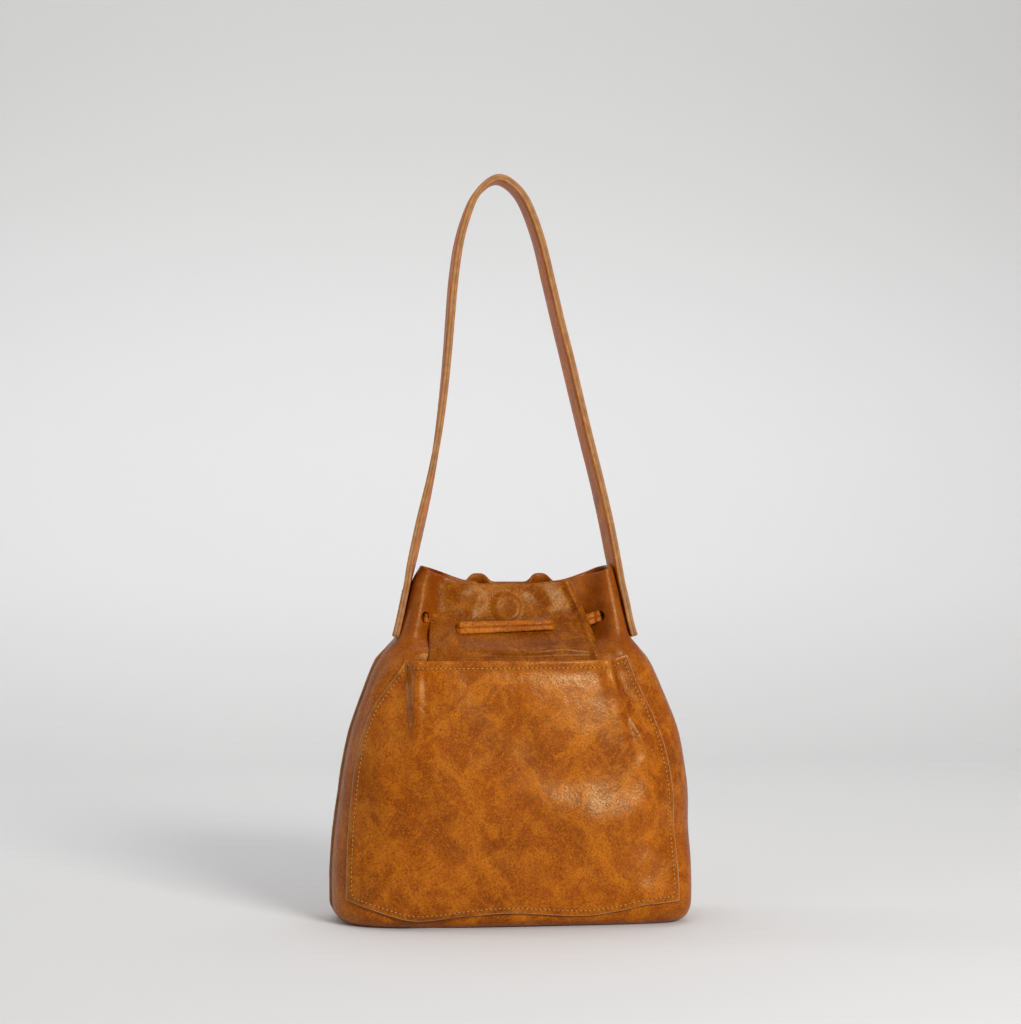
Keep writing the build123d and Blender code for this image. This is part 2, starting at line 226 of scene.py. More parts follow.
# ---------------------------------------------------------------- the form of the body
# height, half width, half depth at the ends, half depth in the middle, roundness
BODY = (
    (0.0, HALF_WIDTH - 14.0, HALF_DEPTH - 12.5, HALF_DEPTH - 12.5, 3.0),
    (2.0, HALF_WIDTH - 9.0, HALF_DEPTH - 8.0, HALF_DEPTH - 8.0, 3.0),
    (6.0, HALF_WIDTH - 5.4, HALF_DEPTH - 4.5, HALF_DEPTH - 4.5, 3.0),
    (14.0, HALF_WIDTH - 2.8, HALF_DEPTH - 2.0, HALF_DEPTH - 2.0, 3.0),
    (45.0, HALF_WIDTH - 2.0, HALF_DEPTH, HALF_DEPTH, 2.9),
    (90.0, HALF_WIDTH - 4.3, HALF_DEPTH - 0.5, HALF_DEPTH - 0.5, 2.8),
    (140.0, HALF_WIDTH - 11.5, HALF_DEPTH - 6.0, HALF_DEPTH - 6.0, 2.8),
    (175.0, HALF_WIDTH - 24.0, HALF_DEPTH - 12.0, HALF_DEPTH - 12.5, 2.8),
    (SHOULDER_Z, HALF_WIDTH - 35.2, HALF_DEPTH - 18.5, HALF_DEPTH - 20.0, 3.2),
    (CREASE_Z + 2, HALF_WIDTH - 40.0, HALF_DEPTH - 21.0, HALF_DEPTH - 24.5, 3.6),
    (CREASE_Z + 8, HALF_WIDTH - 45.5, HALF_DEPTH - 24.0, HALF_DEPTH - 34.5, 4.0),
    (NECK_Z - 4, HALF_WIDTH - 50.5, HALF_DEPTH - 27.0, 6.2, 4.4),
    (NECK_Z, HALF_WIDTH - 51.6, HALF_DEPTH - 28.5, 3.6, 4.6),
    (NECK_Z + 20, HALF_WIDTH - 57.0, HALF_DEPTH - 32.5, 3.4, 4.8),
    (RIM_Z, HALF_WIDTH - 60.6, HALF_DEPTH - 35.5, 3.4, 4.8),
    (WING_Z, HALF_WIDTH - 66.0, HALF_DEPTH - 36.5, 3.4, 4.8),
)
FOLD_X = 53.0            # half width of the flat gathered layers behind the mouth flaps
CENTRE_SHIFT = (         # height, how far the bag leans to the right there
    (0.0, -1.0), (30.0, -0.9), (65.0, 0.6), (100.0, 2.6), (150.0, 3.3), (190.0, 2.2),
    (CREASE_Z, 1.4), (NECK_Z + 20, 2.2), (RIM_Z, 2.4), (WING_Z, 4.4),
)
CORNER_POWER = 4.0       # extra squareness of the base's front right corner
FLAT_END, TURN_START = 0.45, 0.68      # shares u of the outline where its parts meet
MIDDLE_PART, SIDE_PART = 0.23, 0.32    # shares between the two, and from the turn to the side


@lru_cache(maxsize=None)
def body_sizes(z):
    """Half width, half depth at the ends and in the middle, and roundness at a height."""
    return [follow([(row[0], row[k]) for row in BODY], z) for k in (1, 2, 3, 4)]


def outline(u, z, grow=0.0, square=0.0):
    """Point (x, y) of a quarter of the body's outline; u is 0 in the middle and 1 at the side."""
    half_x, end_y, mid_y, power = body_sizes(z)
    power += square * (1 - smooth(z, 6, 75))
    gathered = smooth(z, SHOULDER_Z, NECK_Z)
    start = 0.7 * half_x + gathered * (FOLD_X - 0.7 * half_x)
    rise = (0.5 + 0.3 * gathered) * (half_x - start)
    turn = start + rise
    a, b, c = half_x + grow, end_y + grow, mid_y + grow
    if u <= FLAT_END:
        x = start * u / FLAT_END
        round_off = (1 - gathered) * (x / a) ** power
        return x, c * (1 - round_off) ** (1 / power)
    if u <= TURN_START:
        x = start + rise * (u - FLAT_END) / MIDDLE_PART
        middle = c + (b - c) * smooth(x, start, turn)
        round_off = 1 - gathered * (1 - smooth(x, start, turn))
        return x, middle * (1 - round_off * (x / a) ** power) ** (1 / power)
    first = math.acos((turn / a) ** (power / 2))
    angle = first * (1 - (u - TURN_START) / SIDE_PART)
    return a * math.cos(angle) ** (2 / power), b * math.sin(angle) ** (2 / power)


# soft folds of the front and the back: start (x, z), end (x, z), width, height
FRONT_FOLDS = (
    ((-104, 186), (-60, 212), 5.0, 3.8),
    ((-112, 168), (-70, 199), 6.0, -2.4),
    ((-96, 204), (-66, 222), 4.0, -2.0),
    ((112, 176), (68, 213), 6.0, 2.4),
    ((120, 150), (84, 196), 7.0, -1.3),
    ((-118, 120), (-108, 168), 7.0, 1.2),
    ((-122, 9), (-74, 6), 6.0, 3.0),
    ((-74, 0), (-34, 10), 3.0, -2.2),
    ((-30, 6), (96, 6), 4.0, 1.6),
    ((88, 30), (124, 8), 9.0, 2.0),
)
BACK_FOLDS = (
    ((-100, 182), (-58, 212), 6.0, 2.4),
    ((96, 178), (60, 212), 6.0, 2.6),
    ((-66, 150), (-40, 200), 8.0, 1.6),
    ((30, 140), (38, 198), 9.0, 1.8),
    ((-90, 60), (40, 44), 14.0, 1.6),
    ((-30, 105), (90, 92), 13.0, -1.5),
    ((-60, 8), (-10, 14), 6.0, 1.6),
    ((10, 12), (90, 7), 6.0, 1.6),
)


def body_swell(x, y, z):
    """How far the body's leather stands out from its plain form, in mm."""
    folds = FRONT_FOLDS if y < 0 else BACK_FOLDS        # the front is toward -Y
    swell = sum(ridge(x, z, *fold) for fold in folds)
    sag = settings().sag / MM
    calm = smooth(z, 2, 30) * (1 - 0.75 * smooth(z, CREASE_Z, NECK_Z + 10))
    swell += sag * calm * (wave(x, y, z, 70) + 0.5 * wave(x, y, z, 32, 5.0))
    swell -= 1.6 * math.exp(-((x / 90) ** 2)) * smooth(z, 20, 90) * (1 - smooth(z, 140, 190))
    return swell


def body_point(u, z, way_x, way_y, grow=0.0):
    """Point of the body's outer face; way_x and way_y choose the quarter."""
    # the bag's weight squares the front right corner of its base
    square = CORNER_POWER if way_x > 0 and way_y < 0 else 0.0
    x, y = outline(u, z, grow, square)
    half_x, end_y = body_sizes(z)[:2]
    out = Vector((x / half_x**2, y / end_y**2))
    out.normalize()
    swell = body_swell(way_x * x, way_y * y, z)
    x += out.x * swell * 0.5
    y += out.y * swell
    return Vector((way_x * x + follow(CENTRE_SHIFT, z), way_y * y, z))


def rim_height(x, way_y):
    """Height of the rim of the gathered side loops; x is counted from the middle."""
    dip = 2.4 * smooth(abs(x), 73, 62) if way_y < 0 else 0.0
    return RIM_Z + 1.0 + (WING_Z - RIM_Z - 1.0) * smooth(abs(x), 30, 76) - dip


# ---------------------------------------------------------------- mesh helpers
def make_object(name, verts, faces, materials=(), uvs=None, face_slots=None):
    """A mesh object from points in mm; uvs are per point."""
    mesh = bpy.data.meshes.new(name)
    mesh.from_pydata([tuple(c * MM for c in v) for v in verts], [], faces)
    mesh.update()
    if uvs:
        layer = mesh.uv_layers.new(name="UVMap")
        for loop in mesh.loops:
            layer.data[loop.index].uv = uvs[loop.vertex_index]
    for material in materials:
        mesh.materials.append(material)
    if face_slots:
        mesh.polygons.foreach_set("material_index", face_slots)
    mesh.polygons.foreach_set("use_smooth", [True] * len(mesh.polygons))
    obj = bpy.data.objects.new(name, mesh)
    bpy.context.scene.collection.objects.link(obj)
    return obj


def grid_faces(rows, cols, closed=False, keep=None):
    """Faces of a grid of rows x cols points; keep(row, col) says which faces stay."""
    faces = []
    for i in range(rows - 1):
        for j in range(cols if closed else cols - 1):
            if keep is None or keep(i, j):
                k = (j + 1) % cols
                faces.append((i * cols + j, i * cols + k, (i + 1) * cols + k, (i + 1) * cols + j))
    return faces


def add_modifier(obj, kind, **values):
    """Add a modifier and set its values."""
    modifier = obj.modifiers.new(kind.title(), kind)
    for key, value in values.items():
        setattr(modifier, key, value)
    return modifier


def settle(obj):
    """Replace the object's mesh by its finished form, with no modifier left."""
    depsgraph = bpy.context.evaluated_depsgraph_get()
    done = bpy.data.meshes.new_from_object(obj.evaluated_get(depsgraph))
    obj.modifiers.clear()
    obj.data = done
    done.name = obj.name
    return obj


def drop_loose(obj):
    """Delete points that no face uses, and merge doubles."""
    work = bmesh.new()
    work.from_mesh(obj.data)
    loose = [v for v in work.verts if not v.link_faces]
    bmesh.ops.delete(work, geom=loose, context="VERTS")
    bmesh.ops.remove_doubles(work, verts=work.verts, dist=1e-6)
    work.to_mesh(obj.data)
    work.free()
    return obj


def point_outward(obj):
    """Merge doubles and turn the faces of a closed form outward."""
    work = bmesh.new()
    work.from_mesh(obj.data)
    bmesh.ops.remove_doubles(work, verts=work.verts, dist=1e-7)
    bmesh.ops.recalc_face_normals(work, faces=work.faces)
    work.to_mesh(obj.data)
    work.free()


def face_along(obj, direction):
    """Turn the faces of an open sheet so that they look along a direction."""
    work = bmesh.new()
    work.from_mesh(obj.data)
    bmesh.ops.recalc_face_normals(work, faces=work.faces)
    if sum(f.normal.dot(direction) * f.calc_area() for f in work.faces) < 0:
        bmesh.ops.reverse_faces(work, faces=work.faces)
    work.to_mesh(obj.data)
    work.free()


def capped_tube(rows, cols):
    """Faces of a tube of rows x cols points that is closed at both ends."""
    faces = grid_faces(rows, cols, closed=True)
    faces.append(tuple(reversed(range(cols))))
    faces.append(tuple(range((rows - 1) * cols, rows * cols)))
    return faces


def path_frames(points):
    """(point, direction, level side) along a line of points."""
    frames = []
    for k, point in enumerate(points):
        before = points[max(k - 1, 0)]
        after = points[min(k + 1, len(points) - 1)]
        along = (Vector(after) - Vector(before)).normalized()
        frames.append((Vector(point), along, along.cross(Vector((0, 0, 1))).normalized()))
    return frames


def resample(points, count):
    """Evenly spaced points on a smooth curve through the given ones."""
    points = [Vector(p) for p in points]
    dense = []
    for k in range(len(points) - 1):
        p0 = points[max(k - 1, 0)]
        p1, p2 = points[k], points[k + 1]
        p3 = points[min(k + 2, len(points) - 1)]
        for step in range(24):
            t = step / 24
            dense.append(
                0.5 * ((2 * p1) + (p2 - p0) * t + (2 * p0 - 5 * p1 + 4 * p2 - p3) * t**2
                       + (3 * p1 - p0 - 3 * p2 + p3) * t**3)
            )
    dense.append(points[-1])
    lengths = [0.0]
    for a, b in zip(dense, dense[1:]):
        lengths.append(lengths[-1] + (b - a).length)
    result, k = [], 0
    for step in range(count):
        target = lengths[-1] * step / (count - 1)
        while k < len(lengths) - 2 and lengths[k + 1] < target:
            k += 1
        span = max(lengths[k + 1] - lengths[k], 1e-9)
        result.append(dense[k].lerp(dense[k + 1], (target - lengths[k]) / span))
    return result


# ---------------------------------------------------------------- materials
PEBBLE_SCALE = 430.0     # pebbles of the grain in a metre
BRUSH_SCALE = (1150.0, 1150.0, 520.0)      # brushed grain: fine across and longer along


def fill(tree, sockets, values):
    """Join or set the sockets of a node: {key: value or another node's socket}."""
    for key, value in values.items():
        if isinstance(value, bpy.types.NodeSocket):
            tree.links.new(value, sockets[key])
        else:
            sockets[key].default_value = value


class Nodes:
    """Short way to add and join shader nodes."""

    def __init__(self, name):
        self.material = bpy.data.materials.new(name)
        self.material.use_nodes = True
        self.tree = self.material.node_tree
        self.tree.nodes.clear()
        self.at = self.add("ShaderNodeTexCoord").outputs["Object"]

    def add(self, kind, values=None, **settings_of_node):
        node = self.tree.nodes.new(kind)
        for key, value in settings_of_node.items():
            setattr(node, key, value)
        fill(self.tree, node.inputs, values or {})
        return node

    def math(self, operation, a, b=0.0, c=None, clamp=False):
        values = {0: a, 1: b}
        if c is not None:
            values[2] = c
        return self.add("ShaderNodeMath", values, operation=operation, use_clamp=clamp).outputs[0]

    def mix(self, share, a, b):
        """Colour a where share is 0 and b where it is 1."""
        return self.add("ShaderNodeMix", {0: share, 6: a, 7: b}, data_type="RGBA").outputs[2]

    def noise(self, at, scale, detail=4.0, rough=0.55):
        values = {"Vector": at, "Scale": scale, "Detail": detail, "Roughness": rough}
        return self.add("ShaderNodeTexNoise", values).outputs["Fac"]

    def span(self, value, low, high):
        """Stretch value so that low becomes 0 and high becomes 1."""
        values = {"Value": value, "From Min": low, "From Max": high}
        return self.add("ShaderNodeMapRange", values, interpolation_type="SMOOTHSTEP").outputs[0]

    def height(self):
        """Height above the base, in metres."""
        return self.add("ShaderNodeSeparateXYZ", {0: self.at}).outputs["Z"]

    def bent(self, scale, amount):
        """Coordinates pushed about by noise, by up to half the amount in metres."""
        values = {"Vector": self.at, "Scale": scale, "Detail": 2.0}
        push = self.add("ShaderNodeTexNoise", values).outputs["Color"]
        for operation, values in (
            ("SUBTRACT", {1: (0.5, 0.5, 0.5)}),
            ("MULTIPLY_ADD", {1: (amount, amount, amount), 2: self.at}),
        ):
            values[0] = push
            push = self.add("ShaderNodeVectorMath", values, operation=operation).outputs[0]
        return push

    def network(self, where, scale, width):
        """Lines of a net of cells, 1 on the line and 0 beside it."""
        values = {"Vector": where, "Scale": scale}
        edge = self.add("ShaderNodeTexVoronoi", values, feature="DISTANCE_TO_EDGE")
        return self.span(edge.outputs["Distance"], width, 0.0)

    def stretched(self, where, angle, scale):
        """Noise drawn out along a direction that leans by the angle."""
        values = {"Vector": where, "Rotation": (0.0, angle, 0.0)}
        turned = self.add("ShaderNodeMapping", values, vector_type="TEXTURE").outputs[0]
        along = self.add("ShaderNodeMapping", {"Vector": turned, "Scale": scale}).outputs[0]
        return self.noise(along, 1.0, 3.0)

    def bump(self, height, strength, distance, under=None):
        """A relief of some metres' height, on top of the one under it."""
        values = {"Height": height, "Strength": strength, "Distance": distance}
        if under is not None:
            values["Normal"] = under
        return self.add("ShaderNodeBump", values).outputs[0]

    def finish(self, colour, roughness, values):
        """Join the one shader to the output."""
        values = {"Base Color": colour, "Roughness": roughness} | values
        shader = self.add("ShaderNodeBsdfPrincipled", values)
        self.add("ShaderNodeOutputMaterial", {"Surface": shader.outputs[0]})
        return self.material


def rgba(colour, factor=1.0):
    """A colour made lighter or darker by a factor, with full alpha."""
    return tuple(min(1.0, c * factor) for c in colour) + (1.0,)


def make_leather(name, tint=1.0, rough=0.36, veins=1.0, neck_shade=0.0, gloss=0.28):
    """Oiled pull-up leather: patches, rubbed veins, pebbled grain and a soft warm sheen."""
    s = settings()
    n = Nodes(name)

    def middle(factor=1.0):
        return rgba(s.leather_colour, factor * tint)

    def dark(factor=1.0):
        return rgba(s.dark_colour, factor * tint)

    def light(factor=1.0):
        return rgba(s.light_colour, factor * tint)

    slow, quick = n.bent(45.0, 0.018), n.bent(230.0, 0.0026)
    # darker patches, lighter clouds and small dark blots
    patches = n.noise(slow, 19.0)
    clouds = n.noise(slow, 62.0, rough=0.60)
    blots = n.noise(slow, 120.0, 3.0)
    colour = n.mix(n.math("MULTIPLY", n.span(patches, 0.60, 0.36), 0.68), middle(), dark())
    colour = n.mix(n.math("MULTIPLY", n.span(clouds, 0.46, 0.70), 0.66), colour, light())
    colour = n.mix(n.math("MULTIPLY", n.span(blots, 0.46, 0.28), 0.38), colour, dark(0.8))
    # rubbed lines where the wax has moved
    rubbed = n.span(n.noise(n.at, 30.0, 2.0, 0.5), 0.42, 0.62)
    wide = n.math("MULTIPLY", n.network(slow, 34.0, 0.11), rubbed)
    narrow = n.math("MULTIPLY", n.network(slow, 78.0, 0.10), n.math("SUBTRACT", 1.0, rubbed))
    lines = n.math("MULTIPLY_ADD", narrow, 0.16 * veins, n.math("MULTIPLY", wide, 0.26 * veins))
    for angle, scale in ((0.75, (78.0, 78.0, 13.0)), (-0.6, (66.0, 66.0, 12.0))):
        streak = n.span(n.stretched(slow, angle, scale), 0.50, 0.68)
        lines = n.math("MAXIMUM", lines, n.math("MULTIPLY", streak, 0.62 * veins))
    colour = n.mix(lines, colour, light(1.06))
    # brushed grain that leans one way here and the other way there
    way = n.span(n.noise(slow, 48.0, 2.0, 0.5), 0.44, 0.56)
    one, other = (n.stretched(quick, angle, BRUSH_SCALE) for angle in (0.85, -0.70))
    brushed = n.math("MULTIPLY_ADD", n.math("SUBTRACT", other, one), way, one)
    # pebbled grain: darker hearts of the pebbles, lighter lines between them
    heart = n.add("ShaderNodeTexVoronoi", {"Vector": quick, "Scale": PEBBLE_SCALE})
    heart = n.span(heart.outputs["Distance"], 0.55, 0.08)
    fine = n.noise(quick, 620.0, 3.0, 0.65)
    depth = n.math("MULTIPLY_ADD", clouds, -0.5, 0.75, clamp=True)
    shade = n.math("MULTIPLY", n.math("MULTIPLY", heart, depth), 0.40)
    shade = n.math("MULTIPLY_ADD", n.span(fine, 0.42, 0.70), 0.25, shade)
    shade = n.math("MULTIPLY_ADD", n.span(brushed, 0.52, 0.34), 0.70, shade)
    colour = n.mix(n.math("MULTIPLY", shade, 0.85, clamp=True), colour, dark(0.85))
    colour = n.mix(n.math("MULTIPLY", n.span(brushed, 0.53, 0.68), 0.62), colour, light(1.05))
    pale = n.math("MULTIPLY", n.network(quick, PEBBLE_SCALE, 0.10), 0.24)
    colour = n.mix(n.math("MULTIPLY", pale, rubbed), colour, light(1.1))
    if neck_shade:
        # painted shade: the leather darkens from a little below the crease up to the gathered
        # neck, and stays dark above it
        neck_shade_share = n.span(n.height(), (CREASE_Z - 16) * MM, NECK_Z * MM)
        colour = n.mix(n.math("MULTIPLY", neck_shade_share, neck_shade), colour, dark())
    grain = n.math("MULTIPLY_ADD", heart, 0.5, n.math("MULTIPLY", brushed, 0.9))
    wrinkle = n.math("MULTIPLY_ADD", lines, 0.12, n.noise(slow, 60.0, 3.0, 0.5))
    bump = n.bump(wrinkle, 0.45, 0.0014, n.bump(grain, 0.5, 0.00016))
    polish = n.math("MULTIPLY_ADD", clouds, 0.30, rough - 0.15)
    polish = n.math("MULTIPLY_ADD", shade, 0.14, polish)
    return n.finish(colour, polish, {
        "Normal": bump, "Specular IOR Level": gloss, "Specular Tint": rgba(s.sheen_colour),
    })


def make_raw_edge(name, factor=1.0):
    """Cut leather edge: lighter fibres with specks."""
    s = settings()
    n = Nodes(name)
    fibres = n.noise(n.at, 1500.0, 3.0, 0.7)
    patches = n.span(n.noise(n.at, 160.0, 3.0, 0.6), 0.35, 0.65)
    colour = n.mix(patches, rgba(s.edge_colour, factor), rgba(s.edge_colour, 0.72 * factor))
    specks = n.math("MULTIPLY", n.span(fibres, 0.42, 0.66), 0.55)
    colour = n.mix(specks, colour, rgba(s.leather_colour, 0.75))
    bump = n.bump(fibres, 0.5, 0.0002)
    return n.finish(colour, 0.72, {"Normal": bump, "Specular IOR Level": 0.3})


def make_suede(name):
    """The flesh side of the leather, seen inside the bag."""
    s = settings()
    n = Nodes(name)
    nap = n.noise(n.at, 1100.0, 4.0, 0.7)
    patches = n.span(n.noise(n.at, 30.0, 4.0, 0.6), 0.35, 0.65)
    colour = n.mix(patches, rgba(s.edge_colour, 0.80), rgba(s.edge_colour, 0.52))
    fibres = n.math("MULTIPLY", n.span(nap, 0.4, 0.7), 0.4)
    colour = n.mix(fibres, colour, rgba(s.leather_colour, 0.6))
    return n.finish(colour, 0.86, {
        "Normal": n.bump(nap, 0.6, 0.0003), "Specular IOR Level": 0.2,
        "Sheen Weight": 0.15, "Sheen Roughness": 0.5,
    })


def make_thread(name):
    """Waxed thread with a twist."""
    s = settings()
    n = Nodes(name)
    twist = n.noise(n.at, 1800.0, 2.0, 0.6)
    share = n.span(twist, 0.35, 0.65)
    colour = n.mix(share, rgba(s.thread_colour), rgba(s.thread_colour, 0.6))
    bump = n.bump(twist, 0.5, 0.0001)
    return n.finish(colour, 0.55, {"Normal": bump, "Specular IOR Level": 0.4})


def make_nickel(name):
    """Plated steel of the magnets, with fine turning marks."""
    n = Nodes(name)
    marks = n.noise(n.at, 700.0, 4.0, 0.6)
    colour = n.mix(marks, (0.62, 0.61, 0.58, 1.0), (0.48, 0.47, 0.45, 1.0))
    return n.finish(colour, n.math("MULTIPLY_ADD", marks, 0.25, 0.18), {"Metallic": 1.0})


FINISHES = {
    # the body's copy of the leather gets painted shade round the neck
    "body_leather": (make_leather, {"tint": 0.93, "neck_shade": 0.55}),
    # painted shade: the front flap's copy of the leather is darker than the body's, to dull the
    # light on its upturned face
    "mouth_leather": (make_leather, {"tint": 0.66, "rough": 0.33, "gloss": 0.20}),
    "pocket_leather": (make_leather, {"tint": 0.93, "rough": 0.29}),
    "lace_leather": (make_leather, {"tint": 1.05, "rough": 0.46, "veins": 0.6}),
    # the strap's copy is lighter, partly for its paler leather and partly as painted light on
    # faces turned from the key
    "strap_leather": (make_leather, {"tint": 1.30, "rough": 0.44, "veins": 0.8}),
    "raw_edge": (make_raw_edge, {}),
    "glue_line": (make_raw_edge, {"factor": 0.78}),
    # needle holes are dark pits of painted shade
    "needle_hole": (make_raw_edge, {"factor": 0.16}),
    "suede": (make_suede, {}),
    "thread": (make_thread, {}),
    "nickel": (make_nickel, {}),
}


def material(name):
    """The named finish, made when it is first asked for."""
    if name not in bpy.data.materials:
        maker, values = FINISHES[name]
        maker(name, **values)
    return bpy.data.materials[name]


# ---------------------------------------------------------------- stitches
def stitch_tree():
    """Geometry Nodes: one stitch after another along a line, with needle holes between."""
    name = "stitches_along_a_line"
    if name in bpy.data.node_groups:
        return bpy.data.node_groups[name]
    tree = bpy.data.node_groups.new(name, "GeometryNodeTree")
    tree.is_modifier = True
    face = tree.interface
    for socket, kind, default in (
        ("Geometry", "Geometry", None), ("Spacing", "Float", 0.0034),
        ("Stitch Length", "Float", 0.0026), ("Thread Radius", "Float", 0.00034),
        ("Hole Radius", "Float", 0.0005), ("Unevenness", "Float", 0.08), ("Seed", "Int", 7),
        ("Thread", "Material", None), ("Hole", "Material", None),
    ):
        item = face.new_socket(socket, in_out="INPUT", socket_type="NodeSocket" + kind)
        if default is not None:
            item.default_value = default
    face.new_socket("Geometry", in_out="OUTPUT", socket_type="NodeSocketGeometry")

    def add(kind, values=None, **settings_of_node):
        node = tree.nodes.new(kind)
        for key, value in settings_of_node.items():
            setattr(node, key, value)
        fill(tree, node.inputs, values or {})
        return node.outputs

    def times(value, factor):
        return add("ShaderNodeMath", {0: value, 1: factor}, operation="MULTIPLY")[0]

    given = add("NodeGroupInput")
    line = add("GeometryNodeMeshToCurve", {"Mesh": given["Geometry"]})
    points = add(
        "GeometryNodeCurveToPoints", {"Curve": line["Curve"], "Length": given["Spacing"]},
        mode="LENGTH",
    )
    # a stitch is a ball drawn out along the line and turned a little by chance
    ball = add("GeometryNodeMeshUVSphere", {"Segments": 6, "Rings": 5, "Radius": 1.0})
    thread, half = given["Thread Radius"], times(given["Stitch Length"], 0.5)
    size = add("ShaderNodeCombineXYZ", {0: thread, 1: thread, 2: half})
    uneven = given["Unevenness"]
    chance = add(
        "FunctionNodeRandomValue", {0: times(uneven, -1.0), 1: uneven, "Seed": given["Seed"]},
        data_type="FLOAT_VECTOR",
    )
    turn = add(
        "FunctionNodeRotateRotation", {"Rotation": points["Rotation"], "Rotate By": chance[0]},
        rotation_space="LOCAL",
    )
    stitches = add("GeometryNodeInstanceOnPoints", {
        "Points": points["Points"], "Instance": ball["Mesh"], "Rotation": turn[0],
        "Scale": size[0],
    })
    # a needle hole, a pit painted dark as shade, lies half a stitch further along
    ahead = add("ShaderNodeCombineXYZ", {2: times(given["Spacing"], 0.5)})
    pit = add("GeometryNodeMeshIcoSphere", {"Subdivisions": 2, "Radius": given["Hole Radius"]})
    moved = add("GeometryNodeTransform", {"Geometry": pit["Mesh"], "Translation": ahead[0]})
    holes = add("GeometryNodeInstanceOnPoints", {
        "Points": points["Points"], "Instance": moved["Geometry"],
        "Rotation": points["Rotation"],
    })
    both = tree.nodes.new("GeometryNodeJoinGeometry")
    for instances, slot in ((stitches, "Thread"), (holes, "Hole")):
        real = add("GeometryNodeRealizeInstances", {"Geometry": instances["Instances"]})
        painted = add(
            "GeometryNodeSetMaterial", {"Geometry": real["Geometry"], "Material": given[slot]},
        )
        tree.links.new(painted["Geometry"], both.inputs["Geometry"])
    smooth_faces = add("GeometryNodeSetShadeSmooth", {"Geometry": both.outputs["Geometry"]})
    add("NodeGroupOutput", {"Geometry": smooth_faces["Geometry"]})
    return tree


def stitch_lines(name, lines, spacing=None, length=None, radius=None):
    """One object with rows of stitches along several lines, each a list of points in mm."""
    s = settings()
    verts, edges = [], []
    for line in lines:
        first = len(verts)
        verts += [tuple(c * MM for c in p) for p in line]
        edges += [(k, k + 1) for k in range(first, len(verts) - 1)]
    mesh = bpy.data.meshes.new(name)
    mesh.from_pydata(verts, edges, [])
    obj = bpy.data.objects.new(name, mesh)
    bpy.context.scene.collection.objects.link(obj)
    modifier = obj.modifiers.new("Stitches", "NODES")
    modifier.node_group = stitch_tree()
    radius = radius or s.thread_radius
    values = {
        "Spacing": spacing or s.stitch_spacing, "Stitch Length": length or s.stitch_length,
        "Thread Radius": radius, "Hole Radius": 1.05 * radius, "Seed": s.seed,
        "Thread": material("thread"), "Hole": material("needle_hole"),
    }
    for socket in modifier.node_group.interface.items_tree:
        if socket.in_out == "INPUT" and socket.name in values:
            modifier[socket.identifier] = values[socket.name]
    return settle(obj)


def surface_of(obj):
    """A search tree of an object's faces, in metres."""
    return BVHTree.FromPolygons(
        [v.co.copy() for v in obj.data.vertices], [tuple(p.vertices) for p in obj.data.polygons]
    )


def lay_on(tree, points, direction, lift):
    """Points in mm moved along a direction onto the surface, then lifted off it by lift mm."""
    direction = Vector(direction).normalized()
    laid = []
    for point in points:
        start = Vector(point) * MM - direction * 0.06
        hit, normal, _, _ = tree.ray_cast(start, direction)
        if hit is None:
            continue
        if normal.dot(direction) > 0:
            normal = -normal
        laid.append((hit + normal * lift * MM) / MM)
    return laid


# ---------------------------------------------------------------- the body
COLUMNS = [k / 34 for k in range(35)]
WINDOW_SHARE = 0.26      # share u of the outline inside which the mouth is open
WALL_ROWS = [0.0, 1.0, 2.5, 4.5, 7, 10, 14, 19, 25] + [25 + 6.6 * k for k in range(1, 28)]
LOOP_ROWS = 16           # rows of the gathered side loops, from the crease to the rim
HEM = 0.9                # wall of a sheet whose edge is turned over, in thicknesses
RIM_TURN = 0.95          # wall of the body and radius of a rim's turn, in thicknesses
HOLE_X, HOLE_Z = 66.5, LACE_Z + 7.0        # the lace's hole in each side loop
HOLE_RADII = (3.0, 4.2)
BASE_RINGS = ((1.0, 0.35), (0.97, 0.2), (0.7, 0.2), (0.35, 0.2), (0.02, 0.2))  # share, height


def ring_columns():
    """(u, way_x, way_y) once round the body, from the middle of the front to the right."""
    ring = [(u, 1, -1) for u in COLUMNS]
    ring += [(u, 1, 1) for u in reversed(COLUMNS[:-1])]
    ring += [(u, -1, 1) for u in COLUMNS[1:]]
    ring += [(u, -1, -1) for u in reversed(COLUMNS[1:-1])]
    return ring


